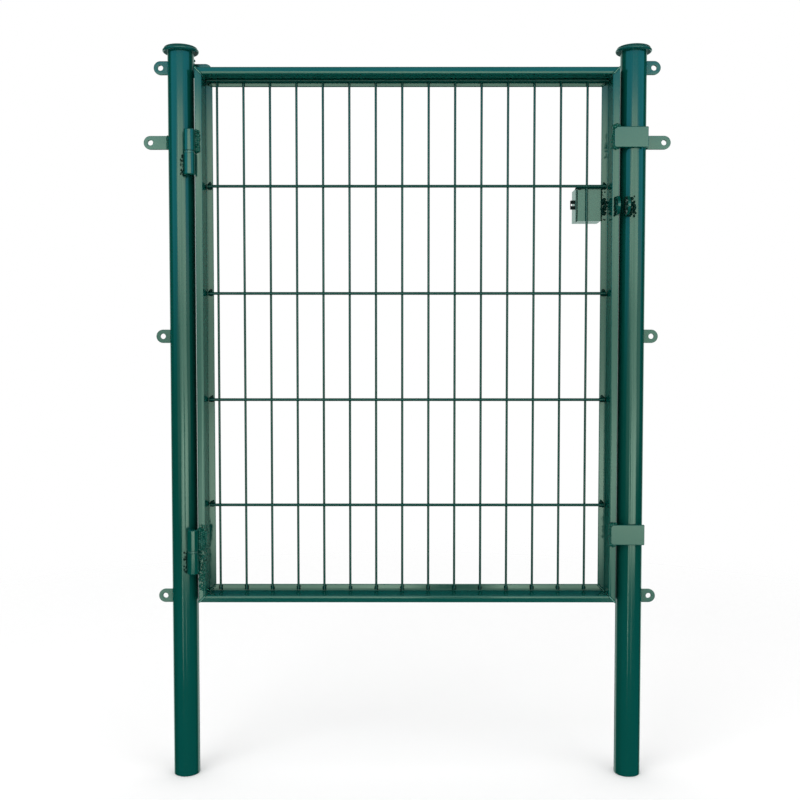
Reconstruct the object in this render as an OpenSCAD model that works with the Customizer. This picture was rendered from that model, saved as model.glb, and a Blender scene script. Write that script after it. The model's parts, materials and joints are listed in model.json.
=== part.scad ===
// Single-leaf garden gate: two round posts, a mitred rebated-tube leaf with a welded wire
// mesh, two weld-on barrel hinges, two stop plates and a sheet-metal lock case.
// Frame: origin on the hinge post's axis at its foot, +X to the lock post, +Z up,
// -Y towards the side that the leaf opens to.

/* [Posts] */
// Outside diameter of a post tube
post_d = 48; // [42:0.5:60]
// Wall thickness of a post tube
post_wall = 2; // [1.5:0.5:4]
// Length of the posts below the leaf, most of it in the ground
post_below = 332; // [150:1:600]
// Length of the post tubes above the leaf
post_above = 38; // [36:1:120]
// How far the rolled bead of a cap stands out from the post
cap_overhang = 9.5; // [9:0.5:20]
// Height of a post cap
cap_h = 12.5; // [11:0.5:24]
// Depth of the post inside its cap
cap_grip = 6.5; // [5:0.5:8]

/* [Leaf frame] */
// Width of the leaf
leaf_w = 780; // [600:1:1200]
// Height of the leaf
leaf_h = 990; // [800:1:1800]
// Gap between the leaf and each post
side_gap = 5.5; // [5:0.5:12]
// Width of the front strip of the rebated tube
strip_w = 13; // [12:0.5:20]
// Width of the lip at the back of the rebated tube
lip_w = 12; // [10:0.5:20]
// Depth of the rebated tube from front to back
rail_depth = 46.5; // [36:0.5:60]
// Thickness of the lip, front to back
lip_t = 5.5; // [4.5:0.5:9]
// Wall thickness of the rebated tube
rail_wall = 1.5; // [1:0.5:2]

/* [Wire mesh] */
// Thickness of an upright wire
upright_d = 4.5; // [3:0.5:6]
// Thickness of a cross wire
cross_d = 5.5; // [4:0.5:8]
// Distance between upright wires
upright_pitch = 49.5; // [40:0.5:60]
// Distance from the top cross wire to the next one
first_drop = 195.5; // [120:0.5:250]
// Distance between the other cross wires
cross_pitch = 200; // [100:1:250]
// Distance from the leaf's hinge edge to the first upright wire
first_upright = 34.5; // [30:0.5:50]

/* [Hinges] */
// Diameter of a hinge barrel
barrel_d = 20.5; // [18:0.5:24]
// Length of one half of a hinge
barrel_h = 39; // [30:1:60]
// Diameter of a hinge pin
pin_d = 10; // [8:0.5:12]
// Thickness of the ring between two barrels
ring_t = 4; // [2:0.5:6]
// Height of the lower hinge ring above the leaf's lower edge
low_hinge_z = 97; // [80:1:200]
// Depth of the upper hinge ring below the leaf's upper edge
high_hinge_drop = 156.5; // [100:0.5:300]

/* [Fence tabs] */
// Height of the flat bar that the tabs are cut from
tab_h = 25; // [20:0.5:30]
// Thickness of that flat bar
tab_t = 5; // [3:0.5:6]
// Diameter of the hole in a tab
tab_hole_d = 10; // [6:0.5:12]
// How far a short tab stands out from the post
tab_out = 26; // [22:1:40]
// How far the long tab stands out from the post
long_tab_out = 46; // [41:1:80]
// Height of the lowest tab above the leaf's lower edge
low_tab_z = 8; // [0:1:60]
// Height of the middle tab above the leaf's lower edge
mid_tab_z = 498; // [300:1:600]
// Height of the highest tab above the leaf's upper edge
top_tab_rise = 4; // [-20:1:8]
// Depth of the long tab below the leaf's upper edge
long_tab_drop = 133; // [60:1:200]
// How far the lug at the back of the hinge post laps over the leaf
lug_lap = 24; // [10:0.5:30]
// Height of that lug's middle above the leaf's upper edge
lug_rise = 6; // [-10:0.5:10]

/* [Stops] */
// Height of a stop plate
stop_h = 38; // [30:1:60]
// Thickness of a stop plate
stop_t = 5; // [3:0.5:8]
// Distance from the leaf's upper and lower edges to the middle of a stop plate
stop_inset = 128; // [100:1:200]
// How far a stop plate lies on the leaf
stop_grip = 10.5; // [8:0.5:12]
// How far a stop plate ends short of the post's outer side
stop_short = 1.5; // [0:0.5:10]

/* [Lock] */
// Width of the lock case
case_w = 48; // [40:1:80]
// Height of the lock case
case_h = 60.5; // [50:0.5:120]
// Depth of the lock case
case_depth = 42; // [30:1:60]
// Thickness of the lock case's sheet
sheet_t = 2; // [1.5:0.5:3]
// Depth of the padlock eyes below the top of the lock case
eye_drop = 38.5; // [20:0.5:60]
// Height of a padlock eye
eye_h = 34; // [28:1:44]
// Reach of a padlock eye in front of the leaf
eye_reach = 24; // [22:1:32]
// Thickness of a padlock eye
eye_t = 5; // [4:0.5:6]

/* [Hidden] */

smooth = 64;
seat = 0.3;        // clearance where two bodies rest against each other
over = 1;          // overshoot of a cutting solid past the face that it cuts
running = 0.05;    // radial clearance of a hinge pin in its bore

post_r = post_d / 2;
leaf_bottom = post_below;
leaf_top = leaf_bottom + leaf_h;
post_h = leaf_top + post_above;
leaf_left = post_r + side_gap;
leaf_right = leaf_left + leaf_w;
lock_x = leaf_right + side_gap + post_r;
leaf_front = -post_r - seat;
leaf_back = leaf_front + rail_depth;
lip_front = leaf_back - lip_t;
section_w = strip_w + lip_w;

bead_r = 3;        // rolled bead of a cap
cap_waist = 1;     // groove between the bead and the body of a cap
cap_dome = 3;      // rise of a cap's top
cap_inset = 2.5;   // from the bead back to the body of a cap

edge_r = 2.5;      // rounding of the rebated tube's front edges
lip_edge_r = 1;    // rounding of the lip's free edge

// Upright wires lie on the lip, cross wires lie on the uprights
wire_sides = 8;
fuse = 0.5;
upright_y = lip_front - upright_d / 2;
cross_y = upright_y - upright_d / 2 - cross_d / 2 + fuse;
top_cross_z = leaf_top - strip_w - cross_d / 2;
inner_w = leaf_w - first_upright - section_w;
upright_count = floor(inner_w / upright_pitch) + 1;
inner_h = leaf_h - strip_w - section_w;
cross_count = floor((inner_h - first_drop) / cross_pitch) + 2;
wire_tuck = lip_w * 0.75;      // how far a wire runs over the lip

barrel_r = barrel_d / 2;
pin_r = pin_d / 2;
weld_gap = 1.4;    // from a barrel to the corner of the leaf
hinge_off = (barrel_r + weld_gap) * sin(45);
hinge_x = leaf_left - hinge_off;
hinge_y = leaf_front - hinge_off;
low_hinge = leaf_bottom + low_hinge_z;
high_hinge = leaf_top - high_hinge_drop;
barrel_end = 6;    // solid end of the leaf's barrel above its pin
pin_reach = barrel_h - barrel_end;
chamfer = 1.5;
web_t = 8;         // thickness of the web from a barrel to its post
weld_run = 9;      // width of the weld from a barrel along the front of the leaf

stop_left = leaf_right - stop_grip;
stop_right = lock_x + post_r - stop_short;
stop_corner = 5;   // rounding of a stop plate's corners on the leaf
stop_nose = 1.5;   // rounding of its other corners

case_right = leaf_right - section_w;
case_left = case_right - case_w;
case_front = lip_front + seat;
case_gap = 0.5;    // between the lock case and the cross wire above it
case_top = cross_z(1) - cross_d / 2 - case_gap;
slide_z = case_top - case_h / 2;
slide_out = 9.5;   // how far the slide's tab stands out of the case
slide_h = 17;
slide_t = 3;
slot_h = 4;        // slot in the slide's tab
slot_edge = 1;

eye_z = case_top - eye_drop;
eye_hole_d = 12;
eye_inset = 2;     // from the outer side of the leaf to its eye
post_eye_x = lock_x - post_r * 0.75;

// Height of a cross wire, counted from the top one
function cross_z(k) = top_cross_z - (k == 0 ? 0 : first_drop + (k - 1) * cross_pitch);

// Points of a quarter round with centre c and radius r, from angle a, turning by 90 degrees
function quarter(c, r, a, turn = 90, steps = 4) =
    [for (i = [0 : steps]) c + r * [cos(a + turn * i / steps), sin(a + turn * i / steps)]];

module post_tube() {
    difference() {
        cylinder(h = post_h, d = post_d, $fn = smooth);
        translate([0, 0, -over])
            cylinder(h = post_h + 2 * over, d = post_d - 2 * post_wall, $fn = smooth);
    }
}

// Cap with a rolled bead at its lower edge, a waist above it and a low dome
module post_cap() {
    steps = 8;
    bead_c = post_r + cap_overhang - bead_r;
    body_r = post_r + cap_overhang - cap_inset;
    body_z = 2 * bead_r + cap_waist;
    round_r = cap_h - body_z - cap_dome;
    shoulder = body_r - round_r;
    dome_r = (shoulder * shoulder + cap_dome * cap_dome) / (2 * cap_dome);
    bore_r = post_r + seat;
    dome = [for (i = [1 : steps])
        let (r = shoulder * (1 - i / steps))
            [r, cap_h - dome_r + sqrt(dome_r * dome_r - r * r)]];
    profile = concat(
        [[bore_r, 0]],
        quarter([bead_c, bead_r], bead_r, -90, 155, steps),
        [[body_r - cap_waist, 2 * bead_r]],
        quarter([shoulder, body_z], round_r, 0, 90),
        dome,
        [[0, cap_grip], [bore_r, cap_grip]]
    );
    rotate_extrude($fn = smooth)
        polygon(profile);
}

// Flat bar with a round, drilled end, butting against a post whose axis is the Z axis
module fence_tab(reach) {
    end_r = tab_h / 2;
    difference() {
        union() {
            translate([0, -tab_t / 2, -end_r])
                cube([reach - end_r, tab_t, tab_h]);
            translate([reach - end_r, tab_t / 2, 0])
                rotate([90, 0, 0])
                    cylinder(h = tab_t, r = end_r, $fn = smooth);
        }
        translate([reach - end_r, tab_t / 2 + over, 0])
            rotate([90, 0, 0])
                cylinder(h = tab_t + 2 * over, d = tab_hole_d, $fn = smooth);
        translate([0, 0, -end_r - over])
            cylinder(h = tab_h + 2 * over, r = post_r, $fn = smooth);
    }
}

module short_tabs() {
    for (z = [leaf_bottom + low_tab_z, leaf_bottom + mid_tab_z, leaf_top + top_tab_rise])
        translate([0, 0, z])
            fence_tab(post_r + tab_out);
}

module long_tab() {
    translate([0, 0, leaf_top - long_tab_drop])
        fence_tab(post_r + long_tab_out);
}

// Cross-section of the rebated tube: X runs from front to back, Y from the lip to the outer edge
module rail_section() {
    step = rail_depth - lip_t;
    outer = concat(
        quarter([edge_r, -edge_r], edge_r, 180, -90),
        [[rail_depth, 0], [rail_depth, -section_w]],
        quarter([step + lip_edge_r, lip_edge_r - section_w], lip_edge_r, 270, -90, 3),
        [[step, -strip_w]],
        quarter([edge_r, edge_r - strip_w], edge_r, 270, -90)
    );
    inner = [
        [rail_wall, -rail_wall], [rail_depth - rail_wall, -rail_wall],
        [rail_depth - rail_wall, rail_wall - section_w], [step + rail_wall, rail_wall - section_w],
        [step + rail_wall, rail_wall - strip_w], [rail_wall, rail_wall - strip_w]
    ];
    difference() {
        polygon(outer);
        polygon(inner);
    }
}

// One side of the leaf, along +X with its outer edge on the X axis and both ends mitred
module rail(length) {
    intersection() {
        rotate([90, 0, 90])
            linear_extrude(height = length)
                rail_section();
        translate([0, rail_depth + over, 0])
            rotate([90, 0, 0])
                linear_extrude(height = rail_depth + 2 * over)
                    polygon([[0, 0], [length, 0],
                             [length - section_w - over, -section_w - over],
                             [section_w + over, -section_w - over]]);
    }
}

// Bar with few sides, along +Z, with a flat towards the lip
module wire(length, d) {
    rotate([0, 0, 180 / wire_sides])
        cylinder(h = length, d = d / cos(180 / wire_sides), $fn = wire_sides);
}

// Half of a hinge that the leaf carries: a capped barrel that drops over the pin
module leaf_barrel(z) {
    base = z + ring_t / 2 + seat;
    weld = [[0, 0], [hinge_off + weld_run, hinge_off], [hinge_off, hinge_off]];
    translate([hinge_x, hinge_y, base])
        difference() {
            union() {
                cylinder(h = barrel_h - chamfer, r = barrel_r, $fn = smooth);
                translate([0, 0, barrel_h - chamfer])
                    cylinder(h = chamfer, r1 = barrel_r, r2 = barrel_r - chamfer, $fn = smooth);
                linear_extrude(height = barrel_h - chamfer)
                    polygon(weld);
            }
            translate([0, 0, -over])
                cylinder(h = pin_reach + over + seat, r = pin_r + running, $fn = smooth);
        }
}

// Half of a hinge that the post carries: a barrel with its pin, on a web to the post
module post_barrel(z) {
    top = z - ring_t / 2;
    web_turn = atan2(-hinge_y, -hinge_x);
    translate([hinge_x, hinge_y, top - barrel_h]) {
        translate([0, 0, chamfer])
            cylinder(h = barrel_h - chamfer, r = barrel_r, $fn = smooth);
        cylinder(h = chamfer, r1 = barrel_r - chamfer, r2 = barrel_r, $fn = smooth);
        cylinder(h = barrel_h + ring_t + pin_reach, r = pin_r, $fn = smooth);
    }
    difference() {
        translate([hinge_x, hinge_y, top - barrel_h + chamfer])
            rotate([0, 0, web_turn])
                translate([0, -web_t / 2, 0])
                    cube([norm([hinge_x, hinge_y]), web_t, barrel_h - 2 * chamfer]);
        cylinder(h = post_h, r = post_r, $fn = smooth);
    }
}

module hinge_ring(z) {
    translate([hinge_x, hinge_y, z - ring_t / 2])
        difference() {
            cylinder(h = ring_t, r = barrel_r - 1, $fn = smooth);
            translate([0, 0, -over])
                cylinder(h = ring_t + 2 * over, r = pin_r + running, $fn = smooth);
        }
}

// Plate on the leaf's lock stile that laps over the front of the lock post
module stop_plate(z) {
    w = stop_right - stop_left;
    outline = concat(
        quarter([stop_corner, stop_corner], stop_corner, 270, -90),
        quarter([stop_corner, stop_h - stop_corner], stop_corner, 180, -90),
        quarter([w - stop_nose, stop_h - stop_nose], stop_nose, 90, -90),
        quarter([w - stop_nose, stop_nose], stop_nose, 0, -90)
    );
    translate([stop_left, leaf_front, z - stop_h / 2])
        rotate([90, 0, 0])
            linear_extrude(height = stop_t)
                polygon(outline);
}

// Eye plate standing forward in the plane x = 0, with a round nose and a hole along X
module eye_plate(root_y) {
    nose_y = leaf_front - eye_reach + eye_h / 2;
    hole_y = leaf_front - eye_reach / 2;
    difference() {
        intersection() {
            union() {
                translate([0, nose_y, eye_z])
                    rotate([0, 90, 0])
                        cylinder(h = eye_t, d = eye_h, $fn = smooth);
                translate([0, nose_y, eye_z - eye_h / 2])
                    cube([eye_t, root_y - nose_y, eye_h]);
            }
            translate([-over, leaf_front - eye_reach - over, eye_z - eye_h])
                cube([eye_t + 2 * over, root_y - leaf_front + eye_reach + over, 2 * eye_h]);
        }
        translate([-over, hole_y, eye_z])
            rotate([0, 90, 0])
                cylinder(h = eye_t + 2 * over, d = eye_hole_d, $fn = smooth);
    }
}

module hinge_post() {
    color("seagreen")
        post_tube();
}

module hinge_post_cap() {
    color("darkgreen")
        translate([0, 0, post_h - cap_grip])
            post_cap();
}

module hinge_post_tabs() {
    color("seagreen")
        mirror([1, 0, 0])
            short_tabs();
}

module hinge_post_long_tab() {
    color("seagreen")
        mirror([1, 0, 0])
            long_tab();
}

// Flat bar across the back of the hinge post that keeps the leaf's corner from swinging back
module back_stop_lug() {
    lug_y = leaf_back + seat;
    lug_z = leaf_top + lug_rise;
    lug_left = -post_r / 2;
    root_w = post_r * 2 / 3;
    end_r = tab_h / 2;
    end_x = leaf_left + lug_lap - end_r;
    color("seagreen")
        difference() {
            union() {
                translate([lug_left, lug_y, lug_z - end_r])
                    cube([end_x - lug_left, tab_t, tab_h]);
                translate([end_x, lug_y + tab_t, lug_z])
                    rotate([90, 0, 0])
                        cylinder(h = tab_t, r = end_r, $fn = smooth);
                translate([-root_w / 2, 0, lug_z - end_r])
                    cube([root_w, lug_y + tab_t, tab_h]);
            }
            cylinder(h = post_h, r = post_r, $fn = smooth);
        }
}

module upper_post_barrel() {
    color("seagreen")
        post_barrel(high_hinge);
}

module upper_hinge_ring() {
    color("darkseagreen")
        hinge_ring(high_hinge);
}

module lower_post_barrel() {
    color("seagreen")
        post_barrel(low_hinge);
}

module lower_hinge_ring() {
    color("darkseagreen")
        hinge_ring(low_hinge);
}

module lock_post() {
    color("seagreen")
        translate([lock_x, 0, 0])
            post_tube();
}

module lock_post_cap() {
    color("darkgreen")
        translate([lock_x, 0, post_h - cap_grip])
            post_cap();
}

module lock_post_tabs() {
    color("seagreen")
        translate([lock_x, 0, 0])
            short_tabs();
}

module lock_post_long_tab() {
    color("seagreen")
        translate([lock_x, 0, 0])
            long_tab();
}

module post_padlock_eye() {
    color("seagreen")
        difference() {
            translate([post_eye_x, 0, 0])
                eye_plate(0);
            translate([lock_x, 0, 0])
                cylinder(h = post_h, r = post_r, $fn = smooth);
        }
}

module hinge_stile() {
    color("mediumseagreen")
        translate([leaf_left, leaf_front, leaf_bottom])
            rotate([0, -90, 0])
                rail(leaf_h);
}

module lock_stile() {
    color("mediumseagreen")
        translate([leaf_right, leaf_front, leaf_bottom])
            mirror([1, 0, 0])
                rotate([0, -90, 0])
                    rail(leaf_h);
}

module top_rail() {
    color("mediumseagreen")
        translate([leaf_left, leaf_front, leaf_top])
            rail(leaf_w);
}

module bottom_rail() {
    color("mediumseagreen")
        translate([leaf_left, leaf_front, leaf_bottom])
            mirror([0, 0, 1])
                rail(leaf_w);
}

module wire_mesh() {
    upright_low = leaf_bottom + section_w - wire_tuck;
    cross_left = leaf_left + section_w - wire_tuck;
    color("darkgreen")
        union() {
            for (i = [0 : upright_count - 1])
                translate([leaf_left + first_upright + i * upright_pitch, upright_y, upright_low])
                    wire(top_cross_z + cross_d / 2 - upright_low, upright_d);
            for (k = [0 : cross_count - 1])
                translate([cross_left, cross_y, cross_z(k)])
                    rotate([0, 90, 0])
                        wire(leaf_w - 2 * (section_w - wire_tuck), cross_d);
        }
}

module upper_leaf_barrel() {
    color("seagreen")
        leaf_barrel(high_hinge);
}

module lower_leaf_barrel() {
    color("seagreen")
        leaf_barrel(low_hinge);
}

module upper_stop_plate() {
    color("seagreen")
        stop_plate(leaf_top - stop_inset);
}

module lower_stop_plate() {
    color("seagreen")
        stop_plate(leaf_bottom + stop_inset);
}

// Sheet-metal box behind the mesh, closed all round but for the slide's slot
module lock_case() {
    color("seagreen")
        difference() {
            translate([case_left, case_front, case_top - case_h])
                cube([case_w, case_depth, case_h]);
            translate([case_left + sheet_t, case_front + sheet_t, case_top - case_h + sheet_t])
                cube([case_w - 2 * sheet_t, case_depth - 2 * sheet_t, case_h - 2 * sheet_t]);
        }
}

module lock_slide_tab() {
    color("black")
        difference() {
            translate([case_left - slide_out, case_front + sheet_t, slide_z - slide_h / 2])
                cube([slide_out, slide_t, slide_h]);
            translate([case_left - slide_out + slot_edge, case_front + sheet_t - over, slide_z - slot_h / 2])
                cube([slide_out - 2 * slot_edge, slide_t + 2 * over, slot_h]);
        }
}

module leaf_padlock_eye() {
    color("seagreen")
        translate([leaf_right - eye_t - eye_inset, 0, 0])
            eye_plate(leaf_front);
}

hinge_post();
hinge_post_cap();
hinge_post_tabs();
hinge_post_long_tab();
back_stop_lug();
upper_post_barrel();
upper_hinge_ring();
lower_post_barrel();
lower_hinge_ring();
lock_post();
lock_post_cap();
lock_post_tabs();
lock_post_long_tab();
post_padlock_eye();
hinge_stile();
lock_stile();
top_rail();
bottom_rail();
wire_mesh();
upper_leaf_barrel();
lower_leaf_barrel();
upper_stop_plate();
lower_stop_plate();
lock_case();
lock_slide_tab();
leaf_padlock_eye();
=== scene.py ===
"""Looks of the metal garden gate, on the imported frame: coated tubes, rods, welds, lock and the studio.

Lengths in the classes are millimetres in the gate's own frame, as in the part's source, and
pieces are brought to metres when they are made. X runs from the hinge post to the lock post,
-Y is the side that the leaf opens to, and Z is up.
"""

import json
import logging
import math
import random
from dataclasses import dataclass, field
from enum import Enum
from typing import Any, Iterable, Mapping, Sequence

import bmesh
import bpy
from mathutils import Matrix, Vector

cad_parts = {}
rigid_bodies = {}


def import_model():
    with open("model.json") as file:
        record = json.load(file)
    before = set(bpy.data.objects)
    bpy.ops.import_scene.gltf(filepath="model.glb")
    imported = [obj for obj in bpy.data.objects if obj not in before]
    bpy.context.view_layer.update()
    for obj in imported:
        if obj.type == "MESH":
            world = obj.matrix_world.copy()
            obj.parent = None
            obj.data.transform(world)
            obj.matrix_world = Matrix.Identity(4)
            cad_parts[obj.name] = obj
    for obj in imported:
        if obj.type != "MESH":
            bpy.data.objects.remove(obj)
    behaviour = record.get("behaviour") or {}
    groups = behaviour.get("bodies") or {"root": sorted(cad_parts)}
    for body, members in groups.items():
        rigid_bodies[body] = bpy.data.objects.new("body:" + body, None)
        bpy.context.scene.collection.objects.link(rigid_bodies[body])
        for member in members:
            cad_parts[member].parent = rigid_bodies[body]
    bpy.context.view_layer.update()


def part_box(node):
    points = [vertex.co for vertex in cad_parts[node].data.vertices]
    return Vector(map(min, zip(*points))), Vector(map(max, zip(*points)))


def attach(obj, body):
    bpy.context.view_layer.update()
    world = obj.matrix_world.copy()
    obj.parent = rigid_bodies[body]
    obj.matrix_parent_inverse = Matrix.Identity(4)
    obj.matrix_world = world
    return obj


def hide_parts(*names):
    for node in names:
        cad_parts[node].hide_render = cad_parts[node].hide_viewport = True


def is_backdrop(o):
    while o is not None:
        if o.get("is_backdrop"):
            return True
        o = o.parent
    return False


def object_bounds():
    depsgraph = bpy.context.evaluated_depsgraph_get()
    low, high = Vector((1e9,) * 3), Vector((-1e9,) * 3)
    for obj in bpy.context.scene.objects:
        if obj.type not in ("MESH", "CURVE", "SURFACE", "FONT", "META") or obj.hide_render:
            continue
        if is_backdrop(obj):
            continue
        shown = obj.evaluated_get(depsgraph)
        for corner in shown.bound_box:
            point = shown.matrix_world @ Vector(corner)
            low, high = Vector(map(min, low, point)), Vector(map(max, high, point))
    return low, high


LOG = logging.getLogger("gate")
MM = 0.001
MERGE = 1e-4  # points closer than this are one, in millimetres
ROUND_SHARP = 50.0  # the angle past which an edge of a rod or a weld stays crisp, in degrees
DAB_HALF = 0.4  # half the height of a single spot of weld
SMALLEST_SPOT = 0.35  # the smallest spot of spatter, as a share of the largest
FULL_TURN = 6.28  # in radians
Point2 = tuple[float, float]
Point3 = tuple[float, float, float]
Colour = tuple[float, float, float]
WHITE = (1.0, 1.0, 1.0, 1.0)


class Body(Enum):
    """The two bodies of the gate."""

    POSTS = "posts"
    LEAF = "leaf"


class Slot(Enum):
    """The record's material slots."""

    GREEN_COAT = "green_coat"
    GREEN_CAP = "green_cap"
    BLACK_PART = "black_part"


class Level(Enum):
    """Which of two like parts, one above the other."""

    UPPER = "upper"
    LOWER = "lower"


class Tab(Enum):
    """The two kinds of fence tab on a post."""

    SHORT = "tabs"
    LONG = "long_tab"


class Face(Enum):
    """The axis that a plate's thickness runs along, with the axes that its outline's x and y become."""

    X = ((0, 1, 0), (0, 0, 1))
    Y = ((1, 0, 0), (0, 0, 1))
    Z = ((1, 0, 0), (0, 1, 0))


class Grain(Enum):
    """Which way the drawing marks of a tube run, as a stretch of the pattern along each axis."""

    UPRIGHT = (1.0, 1.0, 0.012)
    LEVEL = (0.012, 1.0, 1.0)
    NONE = (1.0, 1.0, 1.0)


# ---------------------------------------------------------------- nodes


class Number:
    """A number socket that is used in Python expressions."""

    def __init__(self, graph: "Graph", socket: bpy.types.NodeSocket) -> None:
        """Wraps a socket.

        Args:
            graph: The tree that the socket belongs to.
            socket: The output socket that carries the number.
        """
        self.graph = graph
        self.socket = socket

    def maths(self, operation: str, *values: Any) -> "Number":
        """Adds a Math node.

        Args:
            operation: The Math node's operation.
            values: Its inputs, numbers or other Numbers.

        Returns:
            The result as a Number.
        """
        node = self.graph.node("ShaderNodeMath", {"operation": operation}, dict(enumerate(values)))
        return Number(self.graph, node.outputs[0])

    def __add__(self, other: Any) -> "Number":
        """Returns self + other."""
        return self.maths("ADD", self, other)

    def __radd__(self, other: Any) -> "Number":
        """Returns other + self."""
        return self.maths("ADD", other, self)

    def __sub__(self, other: Any) -> "Number":
        """Returns self - other."""
        return self.maths("SUBTRACT", self, other)

    def __rsub__(self, other: Any) -> "Number":
        """Returns other - self."""
        return self.maths("SUBTRACT", other, self)

    def __mul__(self, other: Any) -> "Number":
        """Returns self * other."""
        return self.maths("MULTIPLY", self, other)

    def __rmul__(self, other: Any) -> "Number":
        """Returns other * self."""
        return self.maths("MULTIPLY", other, self)

    def __truediv__(self, other: Any) -> "Number":
        """Returns self / other."""
        return self.maths("DIVIDE", self, other)

    def maximum(self, other: Any) -> "Number":
        """Returns the greater of self and other."""
        return self.maths("MAXIMUM", self, other)

    def between(self, low: float, high: float) -> "Number":
        """Fades smoothly from 0 at low to 1 at high.

        Args:
            low: Where the result is 0.
            high: Where the result is 1.

        Returns:
            The smooth step as a Number.
        """
        node = self.graph.node(
            "ShaderNodeMapRange",
            {"interpolation_type": "SMOOTHSTEP"},
            {"Value": self, "From Min": low, "From Max": high},
        )
        return Number(self.graph, node.outputs["Result"])

    def between_degrees(self, low: float, high: float) -> "Number":
        """Fades an angle in radians smoothly from 0 at low to 1 at high, both in degrees."""
        return self.between(math.radians(low), math.radians(high))


class Graph:
    """A node tree that is filled by short calls."""

    def __init__(self, tree: bpy.types.NodeTree) -> None:
        """Wraps a tree and empties it.

        Args:
            tree: The shader, world or geometry tree to fill.
        """
        self.tree = tree
        tree.nodes.clear()

    def node(
        self,
        kind: str,
        settings: Mapping[str, Any] | None = None,
        inputs: Mapping[Any, Any] | None = None,
    ) -> bpy.types.Node:
        """Adds a node.

        Args:
            kind: The node's type.
            settings: Its properties, set first.
            inputs: Values, sockets or Numbers for its inputs, by name or index.

        Returns:
            The new node.
        """
        node = self.tree.nodes.new(kind)
        for key, value in (settings or {}).items():
            setattr(node, key, value)
        for key, value in (inputs or {}).items():
            self.feed(node.inputs[key], value)
        return node

    def feed(self, socket: bpy.types.NodeSocket, value: Any) -> None:
        """Sets or links an input.

        Args:
            socket: The input socket.
            value: A plain value, an output socket or a Number.
        """
        if isinstance(value, Number):
            value = value.socket
        if isinstance(value, bpy.types.NodeSocket):
            self.tree.links.new(value, socket)
        else:
            socket.default_value = value

    def number(self, socket: bpy.types.NodeSocket) -> Number:
        """Returns an output socket as a Number."""
        return Number(self, socket)

    def noise(self, scale: float, detail: float, place: bpy.types.NodeSocket | None = None) -> Number:
        """Adds a noise.

        Args:
            scale: Its scale, in turns a metre.
            detail: Its number of finer layers.
            place: The vector that it reads, or None for the point's own place.

        Returns:
            The noise's value.
        """
        inputs = {"Scale": scale, "Detail": detail}
        if place is not None:
            inputs["Vector"] = place
        return self.number(self.node("ShaderNodeTexNoise", None, inputs).outputs[0])

    def mix(self, share: Number, first: Any, second: Any) -> bpy.types.NodeSocket:
        """Mixes two colours.

        Args:
            share: How much of the second colour there is.
            first: A colour or a colour socket.
            second: Another.

        Returns:
            The mixed colour.
        """
        node = self.node("ShaderNodeMix", {"data_type": "RGBA"}, {"Factor": share, 6: first, 7: second})
        return node.outputs[2]

    def vector(self, operation: str, inputs: Mapping[Any, Any]) -> bpy.types.NodeSocket:
        """Returns the result of a Vector Math node."""
        return self.node("ShaderNodeVectorMath", {"operation": operation}, inputs).outputs[0]

    def mix_surfaces(self, share: Any, first: Any, second: Any) -> bpy.types.NodeSocket:
        """Returns a mix of two surfaces, where share is how much of the second there is."""
        return self.node("ShaderNodeMixShader", None, {0: share, 1: first, 2: second}).outputs[0]

    def scaled(self, colour: Any, level: Number) -> bpy.types.NodeSocket:
        """Returns a colour or vector times a level."""
        return self.vector("SCALE", {0: colour, "Scale": level})

    def matt(self, colour: Colour) -> bpy.types.NodeSocket:
        """Returns a matt surface of a colour."""
        return self.node("ShaderNodeBsdfDiffuse", None, {"Color": (*colour, 1.0)}).outputs[0]

    def lighter(self, first: Any, second: Any) -> bpy.types.NodeSocket:
        """Returns the lighter of two colours in each channel."""
        return self.vector("MAXIMUM", {0: first, 1: second})

    def place(self, kind: str = "Object") -> bpy.types.NodeSocket:
        """Returns the coordinates of a point, which a pattern follows."""
        return self.node("ShaderNodeTexCoord").outputs[kind]

    def finish(self, surface: bpy.types.NodeSocket, kind: str = "Material") -> None:
        """Ends a material or a world in its surface."""
        self.node(f"ShaderNodeOutput{kind}", None, {"Surface": surface})


def blank_material(name: str) -> tuple[bpy.types.Material, Graph]:
    """Starts a material.

    Args:
        name: Its name.

    Returns:
        The material and its empty tree.
    """
    made = bpy.data.materials.new(name)
    made.use_nodes = True
    return made, Graph(made.node_tree)


# ---------------------------------------------------------------- finishes


COAT: Colour = (0.0005, 0.048, 0.036)
COAT_WORN: Colour = (0.001, 0.058, 0.045)


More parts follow.
